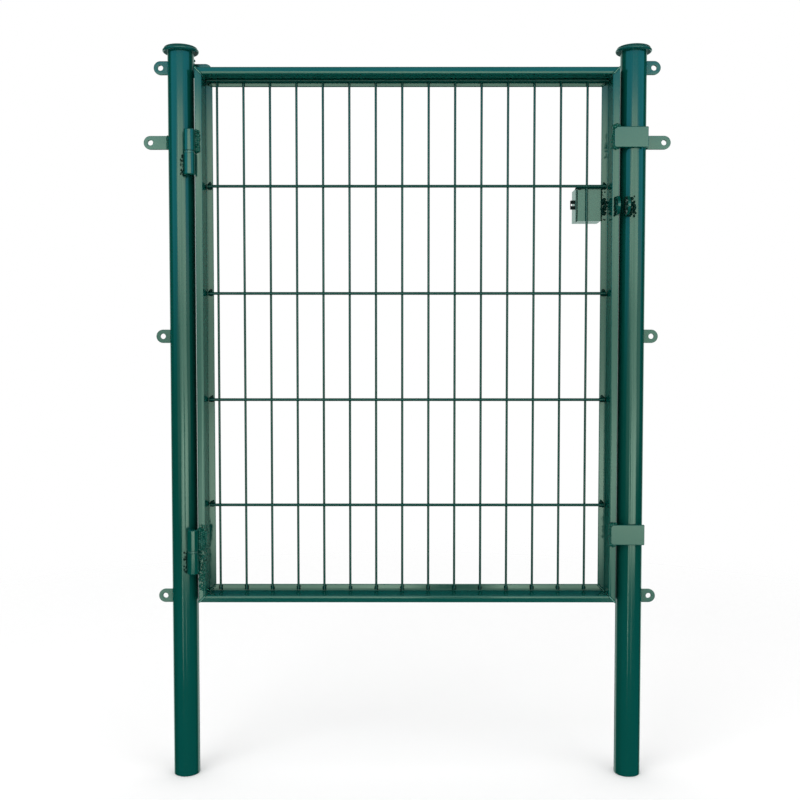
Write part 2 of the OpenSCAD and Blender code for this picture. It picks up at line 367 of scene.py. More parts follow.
@dataclass(frozen=True)
class Finish:
    """A finish of the gate: a colour that drifts a little, a sheen and a relief.

    The relief's depths (streak, peel, lumps) are in millimetres and the scales in turns a metre.
    drift_shares are how much clouds, drawing marks and peel change the colour, and sheen_shares
    are the least roughness and what the clouds add to it, as shares of the roughness.
    """

    name: str
    colour: Colour = COAT
    drift: Colour = COAT_WORN
    slot: Slot = Slot.GREEN_COAT
    roughness: float = 0.12
    gloss: float = 0.5
    grain: Grain = Grain.NONE
    streak: float = 0.0
    peel: float = 0.006
    lumps: float = 0.0
    cloud_scale: float = 9.0
    peel_scale: float = 260.0
    streak_scale: float = 420.0
    lump_scale: float = 330.0
    drift_shares: Point3 = (0.55, 0.3, 0.15)
    sheen_shares: Point2 = (0.8, 0.4)

    def material(self) -> bpy.types.Material:
        """Builds the material once.

        Returns:
            The material, new or made before.
        """
        made = bpy.data.materials.get(self.name)
        if made is not None:
            return made
        made, graph = blank_material(self.name)
        place = graph.place()
        along = graph.node(
            "ShaderNodeMapping", {"vector_type": "POINT"}, {"Vector": place, "Scale": self.grain.value}
        ).outputs["Vector"]
        cloud = graph.noise(self.cloud_scale, 3.0, place)
        fine = graph.noise(self.peel_scale, 2.0, place)
        drawn = graph.noise(self.streak_scale, 3.0, along)
        lumpy = graph.noise(self.lump_scale, 4.0, place)
        clouded, marked, speckled = self.drift_shares
        share = clouded * cloud + marked * drawn + speckled * fine
        least, more = self.sheen_shares
        relief = None
        for height, depth in ((fine, self.peel), (drawn, self.streak), (lumpy, self.lumps)):
            if depth:
                inputs = {"Strength": 1.0, "Distance": depth * MM, "Height": height}
                if relief is not None:
                    inputs["Normal"] = relief
                relief = graph.node("ShaderNodeBump", None, inputs).outputs["Normal"]
        shader = graph.node(
            "ShaderNodeBsdfPrincipled",
            None,
            {
                "Base Color": graph.mix(share, (*self.colour, 1.0), (*self.drift, 1.0)),
                "Specular IOR Level": self.gloss,
                "Roughness": self.roughness * (least + more * cloud),
                "Normal": relief,
            },
        )
        graph.finish(shader.outputs["BSDF"])
        return made


POST_COAT = Finish("post_coat", grain=Grain.UPRIGHT, streak=0.034)
STILE_COAT = Finish("stile_coat", grain=Grain.UPRIGHT, streak=0.008)
RAIL_COAT = Finish("rail_coat", grain=Grain.LEVEL, streak=0.008)
PLATE_COAT = Finish("plate_coat", roughness=0.17, gloss=0.62)
BARREL_COAT = Finish("barrel_coat", roughness=0.09, gloss=0.54, streak=0.012)
CASE_COAT = Finish(
    "case_coat", (0.003, 0.045, 0.035), (0.012, 0.085, 0.066), roughness=0.2, gloss=0.6, lumps=0.008
)
# ROD_COAT is darker than the coat: painted shade on the wires in the weave and on the bead along the lock
# case's top.
ROD_COAT = Finish("rod_coat", (0.0005, 0.034, 0.025), (0.001, 0.044, 0.033), roughness=0.2, gloss=0.36)
WELD_COAT = Finish(
    "weld_coat", (0.002, 0.05, 0.034), (0.004, 0.07, 0.048), roughness=0.18, gloss=0.4, lumps=0.1
)
# SHADED_WELD is near black and dull: painted shade in the rough weld lumps and spatter.
SHADED_WELD = Finish(
    "shaded_weld_coat", (0.0004, 0.008, 0.0055), (0.001, 0.024, 0.016),
    roughness=0.26, gloss=0.13, lumps=0.12,
)
CAP_COAT = Finish("cap_coat", (0.0012, 0.046, 0.040), (0.003, 0.066, 0.058), Slot.GREEN_CAP, peel=0.012)
# RING_HIGHLIGHT_COAT is lighter than the coat: a painted highlight on the ring between the hinge barrels.
RING_HIGHLIGHT_COAT = Finish("ring_painted_highlight_coat", (0.006, 0.06, 0.048), (0.03, 0.11, 0.088), roughness=0.14, gloss=0.6)
# HIGHLIGHT_LINE_COAT is pale: a painted highlight, the light line along the frame's corner crests and the
# back stop's rim.
HIGHLIGHT_LINE_COAT = Finish("painted_highlight_coat", (0.05, 0.16, 0.125), (0.12, 0.26, 0.21), roughness=0.16, gloss=0.55)
BLACK_PART = Finish(
    "black_part_coat", (0.002, 0.004, 0.0035), (0.004, 0.008, 0.007), Slot.BLACK_PART,
    roughness=0.6, gloss=0.08,
)


# ---------------------------------------------------------------- mesh tools


def node_box(node: str) -> tuple[Vector, Vector]:
    """Returns the lowest and highest corner of a CAD node in millimetres."""
    low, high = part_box(node)
    return low / MM, high / MM


def linked(name: str, data: Any) -> bpy.types.Object:
    """Puts a new object into the scene.

    Args:
        name: Its name.
        data: The mesh, lamp or camera that it shows.

    Returns:
        The object.
    """
    made = bpy.data.objects.new(name, data)
    bpy.context.scene.collection.objects.link(made)
    return made


def evaluated(piece: bpy.types.Object) -> bpy.types.Mesh:
    """Returns a new mesh of a piece with its modifiers applied."""
    graph = bpy.context.evaluated_depsgraph_get()
    return bpy.data.meshes.new_from_object(piece.evaluated_get(graph))


def written(shape: bmesh.types.BMesh, name: str = "shape") -> bpy.types.Mesh:
    """Turns a shape into a mesh and frees the shape.

    Args:
        shape: The shape.
        name: The mesh's name.

    Returns:
        The mesh.
    """
    mesh = bpy.data.meshes.new(name)
    shape.to_mesh(mesh)
    shape.free()
    return mesh


def closed_mesh(solid: bmesh.types.BMesh) -> bpy.types.Mesh:
    """Merges a solid's doubles and turns its faces outwards.

    Args:
        solid: The solid, which is freed.

    Returns:
        The mesh.
    """
    bmesh.ops.remove_doubles(solid, verts=solid.verts, dist=MERGE)
    bmesh.ops.recalc_face_normals(solid, faces=solid.faces)
    return written(solid)


def arc(centre: Point2, radius: float, start: float, turn: float, steps: int = 8) -> list[Point2]:
    """Points along an arc.

    Args:
        centre: Its centre.
        radius: Its radius.
        start: The angle of the first point, in degrees.
        turn: How far it turns, in degrees.
        steps: The number of chords.

    Returns:
        The points, both ends included.
    """
    angles = [math.radians(start + turn * i / steps) for i in range(steps + 1)]
    return [(centre[0] + radius * math.cos(a), centre[1] + radius * math.sin(a)) for a in angles]


def rounded(corners: Sequence[tuple[float, float, float]], steps: int = 6) -> list[Point2]:
    """Rounds the corners of a closed outline.

    Args:
        corners: The corners as x, y and the radius of the rounding.
        steps: The number of chords in each rounding.

    Returns:
        The outline's points.
    """
    outline: list[Point2] = []
    count = len(corners)
    for i, (x, y, radius) in enumerate(corners):
        here = Vector((x, y))
        before = (Vector(corners[i - 1][:2]) - here).normalized()
        after = (Vector(corners[(i + 1) % count][:2]) - here).normalized()
        if radius <= 0:
            outline.append((x, y))
            continue
        half = before.angle(after) / 2
        centre = here + (before + after).normalized() * radius / math.sin(half)
        first = here + before * radius / math.tan(half) - centre
        last = here + after * radius / math.tan(half) - centre
        turn = first.angle_signed(last)
        for k in range(steps + 1):
            spoke = first.copy()
            spoke.rotate(Matrix.Rotation(-turn * k / steps, 2))
            outline.append(tuple(centre + spoke))
    return outline


def turned(profile: Sequence[Point2], centre: Point2, steps: int = 72) -> bpy.types.Mesh:
    """Turns a profile round an upright axis into a closed solid.

    Args:
        profile: Radius and height of each point; the ends join up or lie on the axis.
        centre: Where the axis stands.
        steps: The number of faces round the axis.

    Returns:
        The mesh.
    """
    solid = bmesh.new()
    rings = []
    for radius, height in profile:
        angles = [2 * math.pi * i / steps for i in range(steps if radius > 0 else 1)]
        rings.append([
            solid.verts.new((centre[0] + radius * math.cos(a), centre[1] + radius * math.sin(a), height))
            for a in angles
        ])
    pairs = list(zip(rings, rings[1:]))
    if profile[0][0] > 0:
        pairs.append((rings[-1], rings[0]))
    for low, high in pairs:
        for i in range(steps):
            j = (i + 1) % steps
            corners = (low[i % len(low)], low[j % len(low)], high[j % len(high)], high[i % len(high)])
            distinct = list(dict.fromkeys(corners))
            if len(distinct) > 2:
                solid.faces.new(distinct)
    return closed_mesh(solid)


def plate(
    outline: Sequence[Point2],
    thickness: float,
    edge: float,
    place: Matrix,
    holes: Iterable[Sequence[Point2]] = (),
) -> bpy.types.Mesh:
    """Cuts a flat plate with eased edges.

    Args:
        outline: The outline, in the plane of the plate.
        thickness: The plate's thickness.
        edge: How far its edges are eased.
        place: Where the plate goes; its middle plane is the local XY plane.
        holes: The outlines of its holes.

    Returns:
        The mesh.
    """
    curve = bpy.data.curves.new("outline", "CURVE")
    curve.dimensions = "2D"
    curve.fill_mode = "BOTH"
    curve.extrude = thickness / 2 - edge
    curve.bevel_depth = edge
    curve.bevel_resolution = 2
    curve.offset = -edge
    for clockwise, loop in [(False, outline), *((True, hole) for hole in holes)]:
        area = sum(a[0] * b[1] - b[0] * a[1] for a, b in zip(loop, [*loop[1:], loop[0]]))
        points = list(loop) if (area < 0) == clockwise else list(reversed(loop))
        spline = curve.splines.new("POLY")
        spline.points.add(len(points) - 1)
        spline.use_cyclic_u = True
        for target, (x, y) in zip(spline.points, points):
            target.co = (x, y, 0, 1)
    holder = bpy.data.objects.new("outline", curve)
    solid = bmesh.new()
    solid.from_mesh(bpy.data.meshes.new_from_object(holder))
    bpy.data.objects.remove(holder)
    bmesh.ops.transform(solid, matrix=place, verts=solid.verts)
    return closed_mesh(solid)


def facing(normal: Face, origin: Sequence[float]) -> Matrix:
    """The place of a plate that lies square to the frame.

    Args:
        normal: The way that the plate's thickness runs.
        origin: Where the outline's origin and the plate's middle plane go.

    Returns:
        The placing matrix.
    """
    first, second = (Vector(axis) for axis in normal.value)
    rotation = Matrix((first, second, first.cross(second))).transposed()
    return Matrix.Translation(Vector(origin)) @ rotation.to_4x4()


def swept(ends: Sequence[Sequence[Vector]]) -> bpy.types.Mesh:
    """Joins two equal rings of points into a closed bar.

    Args:
        ends: The ring at each end of the bar.

    Returns:
        The mesh.
    """
    solid = bmesh.new()
    near, far = ([solid.verts.new(p) for p in ring] for ring in ends)
    for i in range(len(near)):
        j = (i + 1) % len(near)
        solid.faces.new((near[i], near[j], far[j], far[i]))
    solid.faces.new(near)
    solid.faces.new(list(reversed(far)))
    return closed_mesh(solid)


def even_normals(piece: bpy.types.Object) -> None:
    """Bends the shading towards a piece's large faces, so that they look flat up to their eased edges.

    Args:
        piece: The piece, which gets a new mesh.
    """
    modifier = piece.modifiers.new("normals", "WEIGHTED_NORMAL")
    modifier.mode = "FACE_AREA"
    modifier.weight = 100
    modifier.keep_sharp = True
    flat = evaluated(piece)
    piece.modifiers.remove(modifier)
    old, name = piece.data, piece.data.name
    piece.data = flat
    bpy.data.meshes.remove(old)
    flat.name = name


def dressed(
    name: str,
    shapes: Sequence[bpy.types.Mesh],
    finish: Finish,
    body: Body,
    nodes: Sequence[str] = (),
    sharp: float = 32.0,
    flatten: bool = True,
) -> bpy.types.Object:
    """Joins shapes into one finished piece that rides on a body.

    Args:
        name: The piece's name.
        shapes: Its closed meshes, in millimetres.
        finish: Its finish.
        body: The body that it moves with.
        nodes: The CAD nodes that it stands for.
        sharp: The angle between faces past which an edge stays crisp, in degrees.
        flatten: Whether large faces keep their own normal beside eased edges.

    Returns:
        The piece.
    """
    joined = bmesh.new()
    for shape in shapes:
        joined.from_mesh(shape)
        bpy.data.meshes.remove(shape)
    mesh = written(joined, name)
    mesh.transform(Matrix.Scale(MM, 4))
    mesh.shade_smooth()
    mesh.set_sharp_from_angle(angle=math.radians(sharp))
    mesh.materials.clear()
    mesh.materials.append(finish.material())
    piece = linked(name, mesh)
    if flatten:
        even_normals(piece)
    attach(piece, body.value)
    if nodes:
        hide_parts(*nodes)
    LOG.info("%s: %d faces on %s", name, len(piece.data.polygons), body.value)
    return piece


# ---------------------------------------------------------------- rods and welds


@dataclass(frozen=True)
class Bead:
    """A weld bead, a dab or a rod: a path with a radius."""

    path: Sequence[Sequence[float]]
    radius: float


def upright(x: float, y: float, low: float, high: float, radius: float) -> Bead:
    """Returns a bead or rod that stands upright."""
    return Bead([(x, y, low), (x, y, high)], radius)


def lying(low: float, high: float, y: float, z: float, radius: float) -> Bead:
    """Returns a bead or rod that runs along X."""
    return Bead([(low, y, z), (high, y, z)], radius)


def dab(x: float, y: float, z: float, radius: float) -> Bead:
    """Returns a single spot of weld."""
    return upright(x, y, z - DAB_HALF, z + DAB_HALF, radius)


def spatter(
    draw: random.Random, count: int, low: Sequence[float], high: Sequence[float], radius: float
) -> list[Bead]:
    """Spots of weld thrown over an area.

    Args:
        draw: The source of chance.
        count: How many spots.
        low: The lowest corner of the area.
        high: Its highest corner.
        radius: The largest radius of a spot.

    Returns:
        The spots.
    """
    return [
        dab(*(draw.uniform(a, b) for a, b in zip(low, high)), radius * draw.uniform(SMALLEST_SPOT, 1.0))
        for _ in range(count)
    ]


def path_mesh(beads: Sequence[Bead]) -> bpy.types.Mesh:
    """A mesh of loose edges that follows the paths and carries their radius.

    Args:
        beads: The paths.

    Returns:
        The mesh, in metres, with the attribute "radius".
    """
    points, edges, radii = [], [], []
    for bead in beads:
        start = len(points)
        points += [tuple(MM * c for c in p) for p in bead.path]
        edges += [(i, i + 1) for i in range(start, len(points) - 1)]
        radii += [bead.radius * MM] * len(bead.path)
    mesh = bpy.data.meshes.new("paths")
    mesh.from_pydata(points, edges, [])
    mesh.attributes.new("radius", "FLOAT", "POINT").data.foreach_set("value", radii)
    return mesh


class GrowthTree:
    """A Geometry Nodes tree that turns the edges of a mesh into solid shapes, by named inputs."""

    def __init__(self, name: str, inputs: Mapping[str, str]) -> None:
        """Starts the tree, up to the curve along the paths and their radius.

        Args:
            name: The tree's name.
            inputs: The socket type of each input after the geometry, by its name.
        """
        tree = bpy.data.node_groups.new(name, "GeometryNodeTree")
        sockets = {"Geometry": "NodeSocketGeometry", **inputs, "Material": "NodeSocketMaterial"}
        for label, kind in sockets.items():
            tree.interface.new_socket(label, in_out="INPUT", socket_type=kind)
        tree.interface.new_socket("Geometry", in_out="OUTPUT", socket_type="NodeSocketGeometry")
        self.graph = Graph(tree)
        self.inputs = self.graph.node("NodeGroupInput").outputs
        self.radius = self.graph.node(
            "GeometryNodeInputNamedAttribute", {"data_type": "FLOAT"}, {"Name": "radius"}
        ).outputs["Attribute"]
        self.curve = self.geometry("MeshToCurve", Mesh=self.inputs["Geometry"])

    def geometry(self, kind: str, **inputs: Any) -> bpy.types.NodeSocket:
        """Adds a geometry node.

        Args:
            kind: The node's type, without its first words.
            inputs: Its inputs, with _ for a space in their names.

        Returns:
            The node's first output.
        """
        named = {key.replace("_", " "): value for key, value in inputs.items()}
        return self.graph.node(f"GeometryNode{kind}", None, named).outputs[0]

    def close(self, made: bpy.types.NodeSocket) -> None:
        """Ends the tree in Realize Instances and Set Material.

        Args:
            made: The geometry that the tree has made.
        """
        smooth = self.geometry("SetShadeSmooth", Geometry=self.geometry("RealizeInstances", Geometry=made))
        painted = self.geometry("SetMaterial", Geometry=smooth, Material=self.inputs["Material"])
        self.graph.feed(self.graph.node("NodeGroupOutput").inputs[0], painted)

    def grow(self, name: str, beads: Sequence[Bead], values: Mapping[str, Any]) -> bpy.types.Mesh:
        """Runs the tree on paths and keeps the result as a plain mesh.

        Args:
            name: The name of the result.
            beads: The paths that it follows.
            values: The tree's inputs by name.

        Returns:
            The mesh, in metres.
        """
        tree = self.graph.tree
        holder = bpy.data.objects.new(name, path_mesh(beads))
        modifier = holder.modifiers.new("grow", "NODES")
        modifier.node_group = tree
        for item in tree.interface.items_tree:
            if item.in_out == "INPUT" and item.name in values:
                modifier[item.identifier] = values[item.name]
        bpy.context.scene.collection.objects.link(holder)
        mesh = evaluated(holder)
        holder.modifiers.remove(modifier)
        bpy.data.objects.remove(holder)
        return mesh


class RodTree(GrowthTree):
    """Makes round bars along paths."""

    def __init__(self) -> None:
        """Builds the tree."""
        super().__init__("round_bars", {"Sides": "NodeSocketInt"})
        circle = self.geometry("CurvePrimitiveCircle", Resolution=self.inputs["Sides"], Radius=1.0)
        self.close(self.geometry(
            "CurveToMesh", Curve=self.curve, Profile_Curve=circle, Scale=self.radius, Fill_Caps=True
        ))


class WeldTree(GrowthTree):
    """Lays overlapping, uneven lumps along paths.

    At the plain unevenness the lumps are rough to ROUGH_DEPTH from their lowest to their highest.
    """

    PLAIN_UNEVENNESS = 0.28
    ROUGH_DEPTH = 1.6
    ROUGH_SCALE = 420.0

    def __init__(self) -> None:
        """Builds the tree."""
        super().__init__(
            "weld_beads",
            {"Spacing": "NodeSocketFloat", "Unevenness": "NodeSocketFloat", "Seed": "NodeSocketInt"},
        )
        graph, seed = self.graph, self.inputs["Seed"]
        uneven = graph.number(self.inputs["Unevenness"])
        spaced = graph.node(
            "GeometryNodeResampleCurve",
            {"mode": "LENGTH"},
            {"Curve": self.curve, "Length": self.inputs["Spacing"]},
        ).outputs[0]
        chance = "FunctionNodeRandomValue"
        spin = graph.node(chance, {"data_type": "FLOAT_VECTOR"}, {1: (FULL_TURN,) * 3, "Seed": seed})
        draw = graph.node(chance, {"data_type": "FLOAT"}, {2: 0.0, 3: 1.0, "Seed": seed})
        size = graph.number(draw.outputs[1])
        lumps = self.geometry(
            "InstanceOnPoints",
            Points=spaced,
            Instance=self.geometry("MeshUVSphere", Segments=8, Rings=6, Radius=1.0),
            Rotation=spin.outputs[0],
            Scale=graph.number(self.radius) * (1 + uneven * (2 * size - 1)),
        )
        height = (graph.noise(self.ROUGH_SCALE, 2.0) - 0.5) * (self.ROUGH_DEPTH * MM)
        outwards = graph.node("GeometryNodeInputNormal").outputs[0]
        offset = graph.scaled(outwards, height * (uneven / self.PLAIN_UNEVENNESS))
        real = self.geometry("RealizeInstances", Geometry=lumps)
        self.close(self.geometry("SetPosition", Geometry=real, Offset=offset))


class Grower:
    """Makes rods and weld beads that follow paths."""

    def __init__(self) -> None:
        """Builds both trees."""
        self.rod_tree = RodTree()
        self.weld_tree = WeldTree()

    @staticmethod
    def _piece(
        name: str,
        tree: GrowthTree,
        beads: Sequence[Bead],
        values: Mapping[str, Any],
        finish: Finish,
        body: Body,
        nodes: Sequence[str] = (),
    ) -> bpy.types.Object:
        """Makes a finished piece from paths.

        Args:
            name: The piece's name.
            tree: The tree to run.
            beads: The paths that it follows.
            values: The tree's inputs by name, apart from the material.
            finish: The piece's finish.
            body: The body that it moves with.
            nodes: The CAD nodes that it stands for.

        Returns:
            The piece.
        """
        mesh = tree.grow(name, beads, {**values, "Material": finish.material()})
        mesh.transform(Matrix.Scale(1 / MM, 4))
        return dressed(name, [mesh], finish, body, nodes, sharp=ROUND_SHARP, flatten=False)

    def rods(
        self,
        name: str,
        beads: Sequence[Bead],
        sides: int,
        finish: Finish,
        body: Body,
        nodes: Sequence[str] = (),
    ) -> bpy.types.Object:
        """Makes a piece of round bars.

        Args:
            name: The piece's name.
            beads: The bars' paths.
            sides: The number of faces round a bar.
            finish: The piece's finish.
            body: The body that it moves with.
            nodes: The CAD nodes that it stands for.

        Returns:
            The piece.
        """
        return self._piece(name, self.rod_tree, beads, {"Sides": sides}, finish, body, nodes)

    def weld(
        self,
        name: str,
        beads: Sequence[Bead],
        body: Body,
        seed: int,
        uneven: float = WeldTree.PLAIN_UNEVENNESS,
        spacing: float = 1.3,
        finish: Finish = WELD_COAT,
    ) -> bpy.types.Object:
        """Makes a piece of weld beads.

        Args:
            name: The piece's name.
            beads: The beads' paths.
            body: The body that they are on.
            seed: The seed of their unevenness.
            uneven: How much the beads vary, as a share of their radius.
            spacing: The distance between the lumps of a bead.
            finish: The finish of the beads.

        Returns:
            The piece.
        """
        values = {"Spacing": spacing * MM, "Unevenness": uneven, "Seed": seed}
        return self._piece(name, self.weld_tree, beads, values, finish, body)


# ---------------------------------------------------------------- posts


@dataclass
class GatePost:
    """A round post with its pressed cap and its fence tabs."""

    prefix: str
    side: int
    wall: float = 2.0
    coat: float = 0.2
    foot_round: float = 0.8
    bead: float = 3.0
    waist: float = 1.0
    dome: float = 3.0
    dome_rings: int = 14
    inset: float = 2.5
    seat_gap: float = 0.3
    broad_dent: float = 0.18
    small_dent: float = 0.12
    tab_edge: float = 0.5
    tab_hole: float = 10.0
    tab_half: float = 12.5
    tab_heights: tuple[float, ...] = (340.0, 830.0, 1326.0)
    weld_r: float = 1.5
    weld_behind: float = 0.6
    front_weld_r: float = 2.2
    front_weld_out: float = 1.2
    first_seed: int = 11
    faces: int = 96

    def __post_init__(self) -> None:
        """Reads the post's place and size from the frame."""
        low, high = node_box(f"{self.prefix}_post")
        self.x = (low.x + high.x) / 2
        self.radius = (high.x - low.x) / 2
        self.height = high.z

    def build(self, grower: Grower) -> None:
        """Makes the tube, the cap, the tabs and their welds.

        Args:
            grower: Makes the welds.
        """
        self._tube()
        self._cap()
        welds = [bead for kind in Tab for bead in self._tabs(kind)]
        grower.weld(f"{self.prefix}_post_tab_welds", welds, Body.POSTS, seed=self.first_seed + self.side)

    def _tube(self) -> None:
        """Makes the tube with eased ends."""
        inner, outer, ease = self.radius - self.wall, self.radius + self.coat, self.foot_round
        profile = [
            (inner, 0.0), (outer - ease, 0.0), *arc((outer - ease, ease), ease, -90, 90, 4)[1:],
            (outer, self.height - ease), (outer - ease, self.height), (inner, self.height),
        ]
        node = f"{self.prefix}_post"
        dressed(f"{node}_tube", [turned(profile, (self.x, 0), self.faces)], POST_COAT, Body.POSTS, [node])

    def _cap(self) -> None:
        """Makes the cap: a rolled bead, a groove and a low dome, with slight dents."""
        node = f"{self.prefix}_post_cap"
        low, high = node_box(node)
        outer = (high.x - low.x) / 2
        body = outer - self.inset
        seat = self.radius + self.seat_gap
        shoulder_z = low.z + 2 * self.bead + self.waist
        round_r = high.z - shoulder_z - self.dome
        shoulder = body - round_r
        dome_r = (shoulder ** 2 + self.dome ** 2) / (2 * self.dome)
        dome = [
            (r, high.z - dome_r + math.sqrt(dome_r ** 2 - r ** 2))
            for r in (shoulder * (1 - i / self.dome_rings) for i in range(1, self.dome_rings))
        ]
        profile = [
            (0.0, self.height), (seat, self.height), (seat, low.z),
            *arc((outer - self.bead, low.z + self.bead), self.bead, -90, 155, 14),
            (body - self.waist, low.z + 2 * self.bead),
            *arc((shoulder, shoulder_z), round_r, 0, 90, 8), *dome, (0.0, high.z),
        ]
        shape = turned(profile, (self.x, 0), self.faces)
        for vertex in shape.vertices:
            reach = math.hypot(vertex.co.x - self.x, vertex.co.y)
            if reach > self.radius + 1:
                angle = math.atan2(vertex.co.y, vertex.co.x - self.x)
                dent = self.broad_dent * (1 + math.sin(3 * angle + self.side))
                dent += self.small_dent * (1 + math.sin(7 * angle))
                share = (reach - self.radius) / (outer - self.radius)
                vertex.co.x -= dent * share * math.cos(angle)
                vertex.co.y -= dent * share * math.sin(angle)
        dressed(f"{node}_shell", [shape], CAP_COAT, Body.POSTS, [node], sharp=60.0)

    def _tabs(self, kind: Tab) -> list[Bead]:
        """Makes the tabs of one node, which are separate plates one above the other.

        Args:
            kind: The kind of tab.

        Returns:
            The welds at their roots.
        """
        node = f"{self.prefix}_post_{kind.value}"
        low, high = node_box(node)
        long_one = kind is Tab.LONG
        thick = high.y - low.y
        heights = [(low.z + high.z) / 2] if long_one else self.tab_heights
        end_r = (high.z - low.z) / 2 if long_one else self.tab_half
        reach = (high.x - self.x) if self.side > 0 else (self.x - low.x)
        root = self.side * (self.radius - self.wall / 2)
        hole_x = self.side * (reach - end_r)
        outline = [
            (root, -end_r), (hole_x, -end_r),
            *arc((hole_x, 0), end_r, -90, self.side * 180, 24)[1:], (root, end_r),
        ]
        hole = arc((hole_x, 0), self.tab_hole / 2, 0, 360, 32)[:-1]
        at = self.x + self.side * (self.radius + 0.1)
        shapes, welds = [], []
        for z in heights:
            bottom, top = z - end_r, z + end_r
            shapes.append(plate(outline, thick, self.tab_edge, facing(Face.Y, (self.x, 0, z)), [hole]))
            welds.append(upright(at, thick / 2 + self.weld_behind, bottom + 2, top - 2, self.weld_r))
            if long_one:
                out = at + self.side * self.front_weld_out
                welds.append(upright(out, -thick / 2 - 0.3, bottom + 1, top - 1, self.front_weld_r))
        dressed(f"{node}_plates", shapes, PLATE_COAT, Body.POSTS, [node])
        return welds


@dataclass
class BackStop:
    """The lug behind the hinge post that the leaf's corner rests against.

    back_weld is a bead's reach and radius, side_weld its X, Y and radius, and a lump its centre
    and radius.
    """

    edge: float = 0.5
    rim: float = 1.3
    rim_start: float = 26.0
    rim_turn: float = -65.0
    seat_w: float = 16.0
    seat_from: float = 20.0
    seat_edge: float = 0.3
    seed: int = 23
    back_weld: Point2 = (9.0, 2.0)
    side_weld: Point3 = (9.5, 23.0, 1.8)
    lumps: tuple[tuple[float, ...], ...] = ((22.5, 10.5, 1343.0, 2.2), (21.5, 12.5, 1337.5, 2.0))

    def build(self, grower: Grower) -> None:
        """Makes the lug, its foot on the post and the welds.

        Args:
            grower: Makes the welds.
        """
        low, high = node_box("back_stop_lug")
        half = (high.z - low.z) / 2
        middle = (high.z + low.z) / 2
        thick = high.y - low.y
        end = high.x - half
        outline = [(low.x, -half), (end, -half), *arc((end, 0), half, -90, 180, 24)[1:], (low.x, half)]
        bar = plate(outline, thick, self.edge, facing(Face.Y, (0, high.y - thick / 2, middle)))
        wide, back = self.seat_w / 2, high.y - 1
        seat = [(-wide, self.seat_from), (wide, self.seat_from), (wide, back), (-wide, back)]
        foot = plate(seat, high.z - low.z - 1, self.seat_edge, facing(Face.Z, (0, 0, middle)))
        dressed("back_stop_lug_plate", [bar, foot], PLATE_COAT, Body.POSTS, ["back_stop_lug"])
        line = low.y + self.rim
        nose = [(x, line, z) for x, z in arc((end, middle), half - self.rim, 90, self.rim_turn, 10)]
        path = [(self.rim_start, line, high.z - self.rim), *nose]
        # The rim is a pale rod along the lug's edge: a painted highlight.
        grower.rods("back_stop_lug_rim", [Bead(path, self.rim)], 12, HIGHLIGHT_LINE_COAT, Body.POSTS)
        top, back = high.z + 0.5, low.y - 1.5
        reach, radius = self.back_weld
        welds = [lying(-reach, reach, back, z, radius) for z in (top, low.z)]
        welds += [dab(*lump) for lump in self.lumps]
        x, y, radius = self.side_weld
        welds += [upright(at, y, low.z + 2, top - 2, radius) for at in (x, -x)]
        grower.weld("back_stop_lug_welds", welds, Body.POSTS, self.seed)


# ---------------------------------------------------------------- leaf


